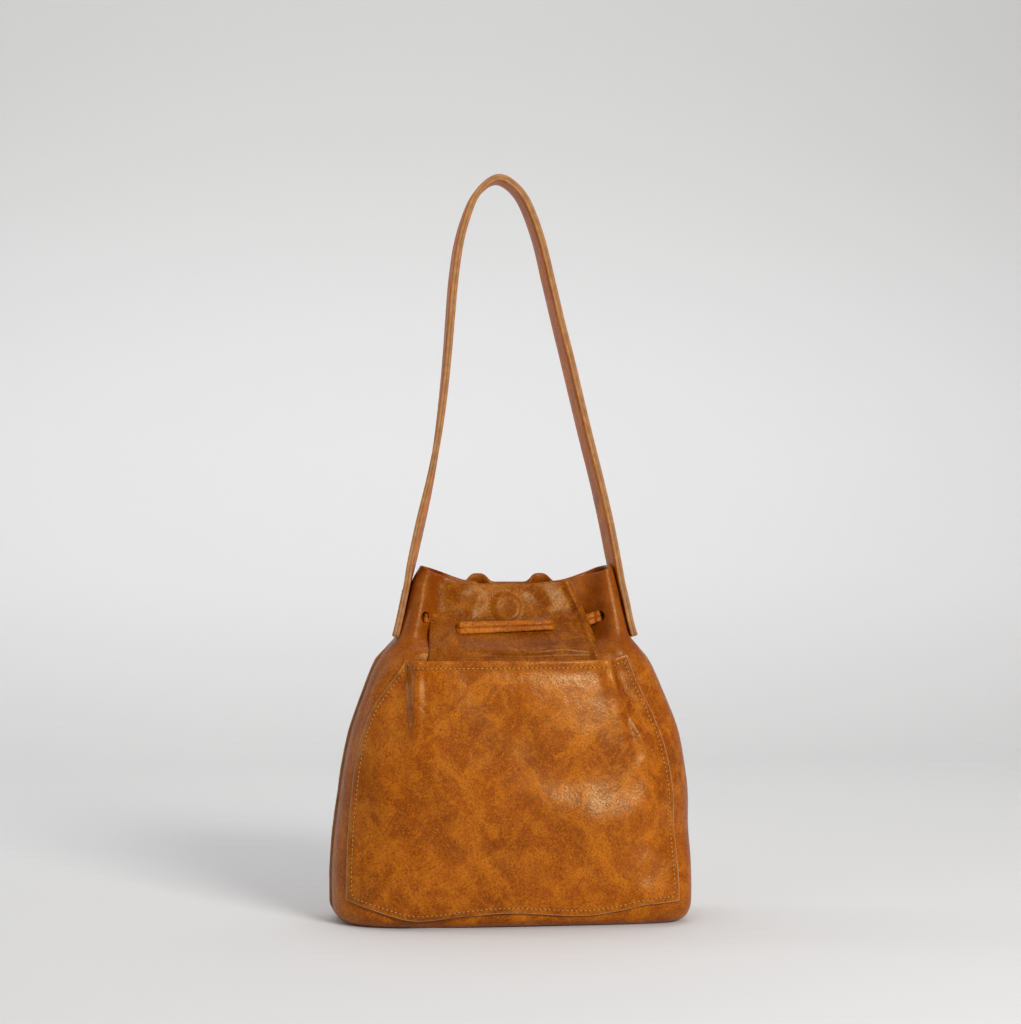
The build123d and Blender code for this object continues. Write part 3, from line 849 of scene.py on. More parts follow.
def build_body():
    """The lofted, sagging shell of both panels with its turned-in rim."""
    ring = ring_columns()
    thick = settings().leather_thickness / MM
    tops = [rim_height(outline(u, WING_Z)[0], wy) - thick for u, _, wy in ring]
    window_z = CREASE_Z + 2
    low_rows = [z for z in WALL_ROWS if z < CREASE_Z - 1] + [window_z]
    verts, uvs = [], []

    def add_row(points, v):
        verts.extend(points)
        uvs.extend((k / len(ring), v) for k in range(len(ring)))

    # turned-in lip under the base, then the wall
    for inset in (9.0, 5.0, 2.0):
        row = [body_point(u, 0.0, wx, wy, -inset) for u, wx, wy in ring]
        add_row([Vector((p.x, p.y, 0.25)) for p in row], -inset / 300)
    for z in low_rows:
        add_row([body_point(u, max(z, 0.25), wx, wy) for u, wx, wy in ring], z / 300)
    window_row = len(verts) // len(ring) - 1
    # the gathered side loops, up to a rim that is turned over and inward
    for k in range(1, LOOP_ROWS + 1):
        share = k / LOOP_ROWS
        add_row([
            body_point(u, window_z + (top - window_z) * share, wx, wy)
            for (u, wx, wy), top in zip(ring, tops)
        ], 0.7 + 0.2 * share)
    for angle in (30, 60, 90, 120, 150, 180):
        inset = thick * RIM_TURN * (1 - math.cos(math.radians(angle)))
        rise = Vector((0, 0, thick * math.sin(math.radians(angle))))
        add_row([
            body_point(u, top, wx, wy, -inset) + rise for (u, wx, wy), top in zip(ring, tops)
        ], 0.9 + angle / 3000)
    for drop in (3.0, 7.0, 10.0):
        add_row([
            body_point(u, top - drop, wx, wy, -2 * RIM_TURN * thick)
            for (u, wx, wy), top in zip(ring, tops)
        ], 0.97 + drop / 1000)

    def keep(i, j):
        return i < window_row or max(ring[j][0], ring[(j + 1) % len(ring)][0]) > WINDOW_SHARE

    faces = grid_faces(len(verts) // len(ring), len(ring), closed=True, keep=keep)
    obj = make_object("bag_body", verts, faces, [material("body_leather"), material("suede")], uvs)
    drop_loose(obj)
    add_modifier(
        obj, "SOLIDIFY", thickness=thick * MM * RIM_TURN, offset=-1.0, material_offset=1,
        material_offset_rim=0, use_even_offset=False,
    )
    add_modifier(obj, "SUBSURF", levels=1, render_levels=1)
    settle(obj)
    for side in (-1, 1):
        for way in (-1, 1):
            punch(obj, way * (HOLE_X + 1.0), side * loop_depth(HOLE_X, HOLE_Z), HOLE_Z)
    return obj


def punch(obj, x, y, z):
    """Cut one lace hole through the wall of a side loop."""
    sides = 24
    reach = 6.0
    verts = []
    for depth in (-reach, reach):
        for k in range(sides):
            angle = 2 * math.pi * k / sides
            across, up = HOLE_RADII[0] * math.cos(angle), HOLE_RADII[1] * math.sin(angle)
            verts.append(Vector((x + across, y + depth, z + up)))
    faces = grid_faces(2, sides, closed=True)
    faces += [tuple(range(sides)), tuple(range(2 * sides - 1, sides - 1, -1))]
    cutter = make_object("lace_hole_cutter", verts, faces)
    point_outward(cutter)
    add_modifier(obj, "BOOLEAN", operation="DIFFERENCE", solver="EXACT", object=cutter)
    settle(obj)
    bpy.data.objects.remove(cutter)


# ---------------------------------------------------------------- the pocket
POCKET_EDGE = (          # height, left end, right end of the sewn outline
    (6.0, -128.0, 121.0),
    (22.0, -129.0, 122.5),
    (60.0, -128.0, 121.5),
    (97.0, -125.0, 120.5),
    (130.0, -120.5, 115.5),
    (160.0, -111.0, 104.5),
    (185.0, -94.0, 92.5),
    (200.0, -84.0, 86.0),
)
POCKET_LOW = (           # x, height of the lower edge
    (-130.0, 21.5), (-110.0, 15.0), (-74.0, 6.5), (-40.0, 10.0), (-10.0, 12.0), (48.0, 9.0),
    (75.0, 12.0), (97.0, 16.5), (122.0, 18.5),
)
# x and height along the pocket's two long folds
RIGHT_RIDGE = ((66.0, 202.0), (74.0, 178.0), (85.0, 158.0), (97.0, 138.0), (99.0, 128.0),
               (92.0, 119.0), (84.0, 110.0))
LEFT_RIDGE = ((-98, 160), (-104, 130), (-102, 90))
# height, how far the pocket's middle stands off the body
POCKET_SLACK = ((8.0, 0.2), (40.0, 0.8), (90.0, 3.0), (140.0, 5.5), (175.0, 7.5), (200.0, 9.0))
# swells and hollows of a pocket that has held things: middle x, z, half widths, height
POCKET_MOUNDS = (
    (38, 160, 34, 20, 2.0), (60, 77, 50, 18, 4.6), (52, 112, 46, 18, -3.0),
    (-100, 150, 12, 30, -1.8),
)
LEFT_FOLD_X = -80.0
RIGHT_FOLD_X = 68.0
FOLD_LEAN = 0.22         # the right fold runs outward by this much for each mm down


def reach_at(table, z):
    """Left and right end at a height, from a table of (height, left, right)."""
    return tuple(follow([(row[0], row[k]) for row in table], z) for k in (1, 2))


def pocket_reach(z):
    """Left and right end of the pocket at a height."""
    return reach_at(POCKET_EDGE, z)


def pocket_top(x):
    """Height of the pocket's upper edge, which climbs where it is sewn down on the right."""
    return POCKET_Z - 1.0 + 4.0 * smooth(x, RIGHT_FOLD_X + 2, RIGHT_FOLD_X + 18)


def pocket_bottom(x):
    """Height of the pocket's lower edge."""
    return follow(POCKET_LOW, x)


def body_y(x, z, side):
    """Place in y of the body's outer face at x, z; side is -1 for the front."""
    low, high = 0.0, 1.0
    shift = follow(CENTRE_SHIFT, z)
    way = 1 if x >= shift else -1
    for _ in range(18):
        middle = (low + high) / 2
        if abs(body_point(middle, z, way, side).x - shift) < abs(x - shift):
            low = middle
        else:
            high = middle
    return body_point((low + high) / 2, z, way, side).y


def pocket_standoff(x, z):
    """How far the pocket stands off the body, in mm."""
    left, right = pocket_reach(z)
    slack = follow(POCKET_SLACK, z)
    inside = smooth(x, left, left + 26) * smooth(x, right, right - 26)
    # the proud middle steps up at two folds that fade downward
    near_top = smooth(z, 120, 190)
    right_fold = RIGHT_FOLD_X + FOLD_LEAN * (200 - z)
    left_step = smooth(x, LEFT_FOLD_X - 3.0, LEFT_FOLD_X + 2.0)
    stepped = left_step * smooth(x, right_fold + 7, right_fold)
    lie = inside * (1 - near_top) + stepped * near_top
    lie = lie * (0.86 + 0.14 * math.cos(math.pi * x / 170))
    stand = 0.5 + slack * lie
    # rolled fold edges
    stand += 2.6 * near_top * math.exp(-(((x - LEFT_FOLD_X - 4) / 3.5) ** 2))
    stand += 1.4 * near_top * math.exp(-(((x - right_fold + 4) / 4.5) ** 2))
    calm = min(smooth(x, left, left + 30), smooth(x, right, right - 26), smooth(z, 8, 40))
    stand += calm * (1.9 * wave(x, 0, z, 52, 11.0) + 0.7 * wave(x, 0, z, 23, 3.0))
    stand += calm * sum(mound(x, z, *row) for row in POCKET_MOUNDS)
    stand += fold_along(x, z, RIGHT_RIDGE, 3.8, 2.2)
    stand += fold_along(x, z, LEFT_RIDGE, 6.0, 1.3)
    return max(stand, 0.35)


def pocket_point(x, z):
    """Point of the pocket's outer face."""
    stand = pocket_standoff(x, z) + settings().leather_thickness / MM
    # the folds lean over the recesses beside them
    near_top = smooth(z, 118, 180)
    right_fold = RIGHT_FOLD_X - 1.5 + FOLD_LEAN * (POCKET_Z - z)
    lean = 2.0 * math.exp(-(((x - right_fold) / 2.6) ** 2))
    lean -= 1.3 * math.exp(-(((x - LEFT_FOLD_X - 1.5) / 2.6) ** 2))
    # the top edge stands up straight where the shoulder starts to lean back
    return Vector((x + near_top * lean, body_y(x, min(z, POCKET_Z - 8), -1) - stand, z))


def build_pocket():
    """The patch pocket with its folds, turned top edge and seam margin."""
    thick = settings().leather_thickness / MM
    rows = 66
    shares = [0.0, 0.004] + [0.010 + 0.980 * k / 128 for k in range(129)] + [0.996, 1.0]
    cols = len(shares)
    verts, uvs = [], []
    for i in range(rows):
        v = 0.0035 * i if i < 2 else (i - 1) / (rows - 2)
        for share in shares:
            z = 15.0 + (POCKET_Z - 15.0) * v
            for _ in range(3):
                left, right = pocket_reach(z)
                x = left + (right - left) * share
                low = pocket_bottom(x)
                z = low + (pocket_top(x) - low) * v
            verts.append(pocket_point(x, z))
            uvs.append((share, v))
    # the top edge is turned over to the inside; the turned part is as long as there is room
    top_row = verts[(rows - 1) * cols:]
    for angle, drop in ((60, 0.0), (120, 0.0), (180, 0.0), (180, 5.0), (180, 10.0)):
        for share, p in zip(shares, top_row):
            room = min(1.0, pocket_standoff(p.x, p.z) / (1.2 * thick))
            inset = HEM * thick * (1 - math.cos(math.radians(angle)))
            rise = HEM * thick * math.sin(math.radians(angle))
            below = drop * room
            follow_y = pocket_point(p.x, p.z - below).y - p.y if drop else 0.0
            verts.append(p + Vector((0, inset + follow_y, rise - below)))
            uvs.append((share, 1 + angle / 4000 + drop / 100))
    faces = grid_faces(len(verts) // cols, cols)
    # the cut edge catches the light along both sides and the bottom
    slots = [0] * len(faces)
    for index, face in enumerate(faces):
        row, col = divmod(face[0], cols)
        if row < rows - 1 and (col in (0, cols - 2) or row == 0):
            slots[index] = 1
    finishes = [material("pocket_leather"), material("raw_edge")]
    obj = make_object("front_pocket_leather", verts, faces, finishes, uvs, slots)
    add_modifier(
        obj, "SOLIDIFY", thickness=thick * MM * HEM, offset=-1.0, material_offset_rim=1,
    )
    add_modifier(obj, "SUBSURF", levels=1, render_levels=1)
    settle(obj)
    return obj


def pocket_stitches(pocket):
    """The hem's row, and the rows along the sewn sides and the bottom."""
    tree = surface_of(pocket)
    inset = 4.2          # from the edge to the row of stitches
    start_y = -70.0      # in front of the bag, from where the rows are laid on the leather
    left, right = pocket_reach(POCKET_Z - 5)
    hem = []
    for k in range(141):
        x = left + 4 + (right - left - 8) * k / 140
        hem.append((x, start_y, pocket_top(x) - inset))
    edge = []
    for k in range(90):
        z = POCKET_Z - 3 - (POCKET_Z - 30) * k / 89
        edge.append((pocket_reach(z)[0] + inset, start_y, z))
    left, right = pocket_reach(26)
    for k in range(1, 140):
        x = left + inset + (right - left - 2 * inset) * k / 140
        edge.append((x, start_y, pocket_bottom(x) + inset))
    for k in range(90):
        z = 27 + (POCKET_Z - 30) * k / 89
        edge.append((pocket_reach(z)[1] - inset, start_y, z))
    lines = [lay_on(tree, line, (0, 1, 0), 0.08) for line in (hem, edge)]
    return stitch_lines("pocket_stitches", lines)


# ---------------------------------------------------------------- the mouth
FLAP_PROFILE = (         # height, depth of a flap's outer face from the middle plane
    (188.0, 43.0), (196.0, 40.8), (200.0, 39.4), (204.0, 37.2), (209.0, 33.4), (214.0, 28.2),
    (219.0, 22.8), (224.0, 18.4), (230.0, 15.0), (237.0, 11.6), (244.0, 9.4), (251.0, 8.3),
    (RIM_Z, 7.8),
)
FLAP_EDGES = (           # height, left end, right end of the front flap
    (188.0, -70.0, 70.0), (204.0, -66.5, 65.5), (230.0, -64.0, 58.5), (RIM_Z, -61.0, 47.0),
)
FLAP_FOLD = 2.1          # radius of a flap's rolled side folds
MAGNET_STITCH_RADIUS = 13.4      # of the ring of stitches round the magnet
# x and height along the crease where the front flap turns back
CREASE_FOLD = ((-26, 209.0), (4, 206.0), (36, 209.5), (64, 206.5))
# soft folds of the front flap: start (x, z), end (x, z), width, height
FLAP_FOLDS = (
    ((-44, 222), (-58, 206), 6.0, 2.2), ((-24, 250), (-33, 232), 4.0, 1.2),
    ((12, 254), (24, 236), 4.5, -1.1), ((24, 256), (34, 238), 4.5, 0.8),
)
PLEATS = (-25.5, 24.5)   # middles of the two pleats in the back rim


def flap_depth(z):
    """Depth of a flap's outer face from the middle plane at a height."""
    return follow(FLAP_PROFILE, z)


def flap_reach(z, side):
    """Left and right end of a flap at a height."""
    return reach_at(FLAP_EDGES, z) if side < 0 else (-60.0, 60.0)


def flap_swell(x, z, side):
    """How far a flap stands out: waves, folds, the lace's pull and the magnet under it."""
    if side > 0:
        out = 1.2 * wave(x, 40, z, 30, 9.0)
        for middle in PLEATS:
            out += 8.0 * math.exp(-(((x - middle) / 6.0) ** 4)) * smooth(z, LACE_Z + 8, RIM_Z - 4)
    else:
        out = 1.3 * wave(x, 0, z, 34, 2.0) + 0.5 * wave(x, 0, z, 15, 8.0)
        out += mound(x, z, -40, 250, 12, 9, 1.6) + mound(x, z, 2, 214, 36, 6, -2.2)
        out += sum(ridge(x, z, *fold) for fold in FLAP_FOLDS)
        out += fold_along(x, z, CREASE_FOLD, 3.2, 3.4)
        out -= 3.0 * math.exp(-(((z - CREASE_Z + 1.5) / 2.0) ** 2)) * smooth(x, -34, -20)
        right = flap_reach(z, side)[1]
        out += 3.4 * math.exp(-(((x - right + 4.5) / 3.0) ** 2))
        out += 0.8 * math.exp(-(((x + 57) / 4.0) ** 2)) * smooth(z, 216, 226)
    fade = smooth(z, CREASE_Z - 4, CREASE_Z + 8) * smooth(z, RIM_Z + 3, RIM_Z - 10)
    out *= 0.35 + 0.65 * fade
    out -= 1.1 * math.exp(-(((z - LACE_Z) / 6.0) ** 2)) * smooth(abs(x - MAGNET_X), 46, 34)
    # the magnet under the leather
    off = math.hypot(x - MAGNET_X, z - MAGNET_Z)
    out += 2.1 * smooth(off, 13.0, 8.4)
    return out


def flap_top(x, side):
    """Height of a flap's rim."""
    if side < 0:
        ends = 2.6 * smooth(x, 10, 50) + 0.8 * smooth(x, -20, -56)
        return RIM_Z - 0.4 + ends - 0.9 * math.exp(-((x / 24) ** 2))
    bumps = sum(math.exp(-(((x - middle) / 8.5) ** 4)) for middle in PLEATS)
    return RIM_Z + 0.4 + 6.5 * bumps


def build_flap(side, name):
    """One mouth flap: a sheet with rolled side folds and a turned rim."""
    thick = settings().leather_thickness / MM
    cols_mid, rows = 72, 44
    low = CREASE_Z - 13
    top_left, top_right = flap_reach(RIM_Z, side)
    verts, uvs = [], []
    row_specs = [("wall", k / (rows - 1)) for k in range(rows)]
    row_specs += [("rim", angle) for angle in (35, 70, 110, 145, 180)]
    row_specs += [("inside", drop) for drop in (3.0, 7.0, 11.0)]
    arc = [math.radians(a) for a in (30, 60, 90, 120, 150, 180)]
    for kind, value in row_specs:
        row = []
        for j in range(cols_mid):
            share = j / (cols_mid - 1)
            top = flap_top(top_left + (top_right - top_left) * share, side) - thick
            if kind == "wall":
                z = low + (top - low) * value
            elif kind == "rim":
                z = top
            else:
                z = top - value
            left, right = flap_reach(z, side)
            x = left + FLAP_FOLD + (right - left - 2 * FLAP_FOLD) * share
            y = flap_depth(z) + flap_swell(x, z, side)
            if side > 0 and z < CREASE_Z + 8:
                under = body_y(x, z, 1) - 1.2 + 1.6 * smooth(z, CREASE_Z - 12, CREASE_Z + 2)
                y = under + (y - under) * smooth(z, CREASE_Z - 1, CREASE_Z + 8)
            # the sheet bows a little toward its side folds
            y -= 1.4 * abs(2 * share - 1) ** 3
            if kind == "rim":
                y -= RIM_TURN * thick * (1 - math.cos(math.radians(value)))
                z += thick * math.sin(math.radians(value))
            elif kind == "inside":
                y -= 2 * RIM_TURN * thick
            row.append((x, y, z))
        # rolled side folds: the sheet turns back behind itself, and the turned-back layer
        # ends below the rim, out of sight
        radius = FLAP_FOLD * (0.35 if kind == "inside" else 1.0)
        tuck = 4.5 * smooth(row[0][2], RIM_Z - 16, RIM_Z - 1)
        turned = [
            (radius * math.sin(a), radius * (1 - math.cos(a)), tuck * smooth(a, 0.6, math.pi))
            for a in arc
        ]
        turned += [(-inward, 2 * radius, tuck) for inward in (3.0, 7.0)]
        (x0, y0, z0), (x1, y1, z1) = row[0], row[-1]
        full = [(x0 - dx, y0 - dy, z0 - drop) for dx, dy, drop in reversed(turned)] + row
        full += [(x1 + dx, y1 - dy, z1 - drop) for dx, dy, drop in turned]
        verts += [Vector((x, side * y, z)) for x, y, z in full]
        uvs += [(k / len(full), full[k][2] / 300) for k in range(len(full))]
    cols = len(full)
    faces = grid_faces(len(verts) // cols, cols)
    if side > 0:
        faces = [face[::-1] for face in faces]
    finish = material("mouth_leather" if side < 0 else "body_leather")
    obj = make_object(name, verts, faces, [finish, material("suede")], uvs)
    add_modifier(
        obj, "SOLIDIFY", thickness=thick * MM * HEM, offset=-1.0, material_offset=1,
    )
    add_modifier(obj, "SUBSURF", levels=1, render_levels=1)
    settle(obj)
    return obj


# ---------------------------------------------------------------- operators
def finish_node(node, finish):
    """Give a CAD node that stays in the scene its finish."""
    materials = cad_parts[node].data.materials
    materials.clear()
    materials.append(material(finish))


class BAG_OT_body(Operator):
    """Make the body's leather shell"""

    bl_idname = "bag.body"
    bl_label = "Body"

    def execute(self, context):
        body = build_body()
        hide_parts("front_panel", "back_panel")
        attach(body, "bag")
        return {"FINISHED"}


class BAG_OT_base(Operator):
    """Make the bottom panel and its seam"""

    bl_idname = "bag.base"
    bl_label = "Base"

    def execute(self, context):
        ring = [body_point(u, 0.0, wx, wy, -8.0) for u, wx, wy in ring_columns()]
        count = len(ring)
        verts, uvs = [], []
        for scale, z in BASE_RINGS:
            verts += [Vector((p.x * scale, p.y * scale, z)) for p in ring]
            uvs += [(p.x * scale / 300, p.y * scale / 300) for p in ring]
        faces = grid_faces(len(BASE_RINGS), count, closed=True)
        faces.append(tuple(range(len(verts) - count, len(verts))))
        base = make_object("base_leather", verts, faces, [material("body_leather")], uvs)
        face_along(base, Vector((0, 0, -1)))
        add_modifier(base, "SOLIDIFY", thickness=settings().leather_thickness, offset=-1.0)
        settle(base)
        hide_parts("base_panel")
        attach(base, "bag")
        line = [body_point(u, 0.0, wx, wy, -4.5) for u, wx, wy in ring_columns()]
        line = [Vector((p.x, p.y, 0.3)) for p in line]
        stitches = stitch_lines("base_stitches", [line + line[:1]])
        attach(stitches, "bag")
        return {"FINISHED"}


class BAG_OT_welts(Operator):
    """Make the raw edge that stands proud in each side seam"""

    bl_idname = "bag.welts"
    bl_label = "Side seams"

    def execute(self, context):
        for name, way in (("left_side_welt", -1), ("right_side_welt", 1)):
            rows, low, high = 90, 2.5, CREASE_Z + 9
            verts, uvs = [], []
            for i in range(rows):
                z = low + (high - low) * i / (rows - 1)
                p = body_point(1.0, z, way, 1)
                # how far the edge stands out of the seam, less toward both ends
                proud = (1.7 if way < 0 else 0.9) * smooth(i, 0, 6) * smooth(i, rows, rows - 8)
                proud *= 1 + 0.15 * wave(0, 0, z, 18, 4.0)
                wiggle = 0.5 * wave(0, 0, z, 30, 6.0)
                section = ((-4.0, -1.1), (-0.3, -1.15), (proud - 0.3, -1.0), (proud, -0.6),
                           (proud - 0.25, -0.08), (proud - 0.25, 0.08), (proud, 0.6),
                           (proud - 0.3, 1.0), (-0.3, 1.15), (-4.0, 1.1))
                for dx, dy in section:
                    verts.append(Vector((p.x + way * dx, p.y + way * -dy + wiggle, z)))
                    uvs.append((dy, z / 100))
            faces = capped_tube(rows, len(section))
            welt = make_object(name + "_edge", verts, faces, [material("raw_edge")], uvs)
            point_outward(welt)
            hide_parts(name)
            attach(welt, "bag")
        return {"FINISHED"}


class BAG_OT_pocket(Operator):
    """Make the front pocket and its stitching"""

    bl_idname = "bag.pocket"
    bl_label = "Front pocket"

    def execute(self, context):
        pocket = build_pocket()
        stitches = pocket_stitches(pocket)
        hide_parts("front_pocket")
        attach(pocket, "bag")
        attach(stitches, "bag")
        return {"FINISHED"}


class BAG_OT_mouth(Operator):
    """Make the two mouth flaps, their magnets' patches and the stitching round them"""

    bl_idname = "bag.mouth"
    bl_label = "Mouth"

    def execute(self, context):
        for side, word in ((-1, "front"), (1, "back")):
            body = f"{word}_mouth"
            flap = build_flap(side, f"{word}_mouth_leather")
            tree = surface_of(flap)
            circle = []
            for k in range(61):
                angle = 2 * math.pi * k / 60
                circle.append((MAGNET_X + MAGNET_STITCH_RADIUS * math.cos(angle), side * 60,
                               MAGNET_Z + MAGNET_STITCH_RADIUS * math.sin(angle)))
            ring = lay_on(tree, circle, (0, -side, 0), 0.06)
            stitches = stitch_lines(f"{word}_magnet_stitches", [ring], spacing=3.0 * MM,
                                    length=2.2 * MM, radius=0.28 * MM)
            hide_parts(f"{word}_flap")
            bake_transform(flap)
            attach(stitches, body)
            patch = build_patch(side, f"{word}_patch_leather")
            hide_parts(f"{word}_magnet_patch")
            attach(patch, body)
            finish_node(f"{word}_magnet", "nickel")
        return {"FINISHED"}


def build_patch(side, name):
    """The round leather patch that holds a magnet inside the mouth."""
    sides = 48
    profile = ((0.02, 0.35), (8.0, 0.35), (10.2, 0.5), (11.6, 1.2), (12.6, 2.6), (14.0, 3.3),
               (16.6, 3.5), (17.0, 3.9), (16.8, 4.4))
    verts, uvs = [], []
    for radius, depth in profile:
        for k in range(sides):
            angle = 2 * math.pi * k / sides
            x = MAGNET_X + radius * math.cos(angle)
            z = MAGNET_Z + radius * math.sin(angle)
            lean = max(0.0, flap_depth(z) - flap_depth(MAGNET_Z)) * smooth(radius, 12, 17)
            verts.append(Vector((x, side * (depth + lean * 0.8), z)))
            uvs.append((math.cos(angle) * radius / 20, math.sin(angle) * radius / 20))
    faces = grid_faces(len(profile), sides, closed=True)
    faces.append(tuple(range(sides)))
    patch = make_object(name, verts, faces, [material("suede"), material("raw_edge")], uvs)
    face_along(patch, Vector((0, -side, 0)))
    add_modifier(patch, "SOLIDIFY", thickness=0.8 * MM, offset=-1.0)
    add_modifier(patch, "SUBSURF", levels=1, render_levels=1)
    return settle(patch)


LACE_STEPS = 56          # steps along the run in front of a flap
LACE_RUN = (-40.5, 37.0)         # ends of the run, counted from the magnet's middle
LACE_LIFT = 4.3          # the run's middle stands off the flap's plain face by this much


class BAG_OT_lace(Operator):
    """Make the flat leather lace that gathers the mouth"""

    bl_idname = "bag.lace"
    bl_label = "Lace"

    def execute(self, context):
        for side, word in ((-1, "front"), (1, "back")):
            body = f"{word}_mouth"
            outside, widths = [], []
            for k in range(LACE_STEPS + 1):
                share = k / LACE_STEPS
                x = MAGNET_X + LACE_RUN[0] + (LACE_RUN[1] - LACE_RUN[0]) * share
                # both ends dive through the flap's slots
                dive = 1 - smooth(share, 0.0, 0.04) + smooth(share, 0.955, 1.0)
                y = flap_depth(LACE_Z) + flap_swell(x, LACE_Z, side) + LACE_LIFT - 9.0 * dive
                outside.append(Vector((x, side * y, LACE_Z - 1.4 + 2.4 * share)))
                widths.append((1.14 - 0.24 * share) * (0.55 + 0.45 * smooth(k, 0, 3)))
            run = build_lace(f"lace_{word}_run", outside, side, widths)
            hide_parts("drawstring")
            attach(run, body)
            for way, hand in ((-1, "left"), (1, "right")):
                hidden = lace_side_route(side, way)
                piece = build_lace(f"lace_{word}_{hand}", hidden, side)
                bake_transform(piece)
        deep = loop_depth(HOLE_X, HOLE_Z) - 4.0
        for way, hand in ((-1, "left"), (1, "right")):
            # inside a side loop, from its front hole to its back hole
            loop = [
                (way * (HOLE_X + out), y, HOLE_Z - low)
                for out, y, low in ((1.5, -deep, 0), (3.5, 4 - deep, 1), (5.0, 0, 3),
                                    (3.5, deep - 4, 1), (1.5, deep, 0))
            ]
            inner = build_lace(f"lace_{hand}_inside", resample(loop, 24), -1)
            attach(inner, "bag")
        return {"FINISHED"}


def loop_depth(x, z):
    """Depth of a side loop's outer face from the middle plane at x, z."""
    half_x, end_y, mid_y = body_sizes(z)[:3]
    start = FOLD_X
    turn = start + 0.8 * (half_x - start)
    return mid_y + (end_y - mid_y) * smooth(abs(x), start, turn)


def lace_side_route(side, way):
    """The lace from the flap's slot, behind the flap, to the hole in the side loop."""
    x0 = MAGNET_X + way * 38
    rest = flap_depth(LACE_Z) - 5.0
    sunk = 0.4 - 0.9 * way      # the left one lies deeper before its hole
    points = [
        (x0, rest, LACE_Z - 0.5),
        (x0 + way * 8, rest, LACE_Z + 1.0),
        (way * 54, rest - 0.5, LACE_Z + 3.0),
        (way * 60, max(rest, loop_depth(60, LACE_Z + 5) + 1.6), LACE_Z + 4.8),
        (way * 63.5, loop_depth(63.5, HOLE_Z) - sunk, LACE_Z + 6.0),
        (way * HOLE_X, loop_depth(HOLE_X, HOLE_Z) - 1.5, HOLE_Z),
        (way * (HOLE_X + 1.5), loop_depth(HOLE_X, HOLE_Z) - 5.5, HOLE_Z),
    ]
    return resample([(x, side * y, z) for x, y, z in points], 32)


def build_lace(name, points, side, widths=None):
    """A folded lace: two turned edges that meet at a groove, sewn down the middle."""
    s = settings()
    half, deep = s.lace_width / MM / 2, s.lace_thickness / MM / 2
    section = (
        (-half, 0.0), (-half * 0.96, 0.62 * deep), (-half * 0.8, 0.95 * deep),
        (-half * 0.4, deep), (-0.12 * half, 0.92 * deep), (-0.04 * half, 0.45 * deep),
        (0.04 * half, 0.45 * deep), (0.12 * half, 0.92 * deep), (half * 0.4, deep),
        (half * 0.8, 0.95 * deep), (half * 0.96, 0.62 * deep), (half, 0.0),
        (half * 0.96, -0.62 * deep), (half * 0.8, -0.95 * deep), (half * 0.3, -deep),
        (-half * 0.3, -deep), (-half * 0.8, -0.95 * deep), (-half * 0.96, -0.62 * deep),
    )
    verts, uvs = [], []
    centre = []
    for k, (point, along, out) in enumerate(path_frames(points)):
        if out.y * side < 0:
            out = -out
        face_out = (out + Vector((0, 0, 0.28))).normalized()
        width_way = along.cross(face_out).normalized()
        if width_way.z < 0:
            width_way = -width_way
        wide = widths[k] if widths else 1.0
        for across, deep_here in section:
            verts.append(point + width_way * across * wide + face_out * deep_here)
            uvs.append((across / 20, k / 20))
        centre.append(point + face_out * deep * 0.62)
    faces = capped_tube(len(points), len(section))
    lace = make_object(name, verts, faces, [material("lace_leather")], uvs)
    point_outward(lace)
    add_modifier(lace, "SUBSURF", levels=1, render_levels=1)
    settle(lace)
    thread = stitch_lines(name + "_thread", [centre], spacing=2.3 * MM, length=1.7 * MM,
                          radius=0.26 * MM)
    work = bmesh.new()
    work.from_mesh(lace.data)
    work.from_mesh(thread.data)
    work.to_mesh(lace.data)
    work.free()
    bpy.data.objects.remove(thread)
    return lace


# ---------------------------------------------------------------- the strap
STRAP_LINE = (           # x, z and twist in degrees of the strap's middle, from left to right
    (-88.6, 216.5, -5), (-85.8, 228, -5), (-82.6, 243, -5), (-79.4, 258, -6), (-75.9, 275, -9),
    (-69.0, 306, -10), (-62.0, 337, -7), (-56.6, 367, -4), (-52.5, 398, -2), (-49.4, 429, -1),
    (-46.9, 460, 0), (-44.2, 491, 1), (-39.4, 522, 1), (-30.2, 550, 0), (-20.5, 563, 0),
    (-9.7, 568.2, 0), (1.5, 562.5, 0), (11.5, 549, -2), (21.6, 522, -3), (29.2, 491, -4),
    (36.6, 460, -4), (44.4, 429, -5), (51.8, 398, -5), (59.4, 367, -5), (67.0, 337, -5),
    (74.2, 306, -6), (80.4, 275, -6), (84.2, 258, -3), (88.1, 243, -1), (91.5, 228, 0),
    (94.7, 216.5, 0),
)
STRAP_ROWS = 260
STRAP_STITCH_BOX = ((-11, 219), (-11, 252), (11, 252), (11, 219), (-11, 219))     # y, z


def strap_path():
    """Evenly spaced (x, z, twist) along the strap's middle."""
    points = resample([(x, twist * 10, z) for x, z, twist in STRAP_LINE], STRAP_ROWS)
    return [(p.x, p.z, p.y / 10) for p in points]


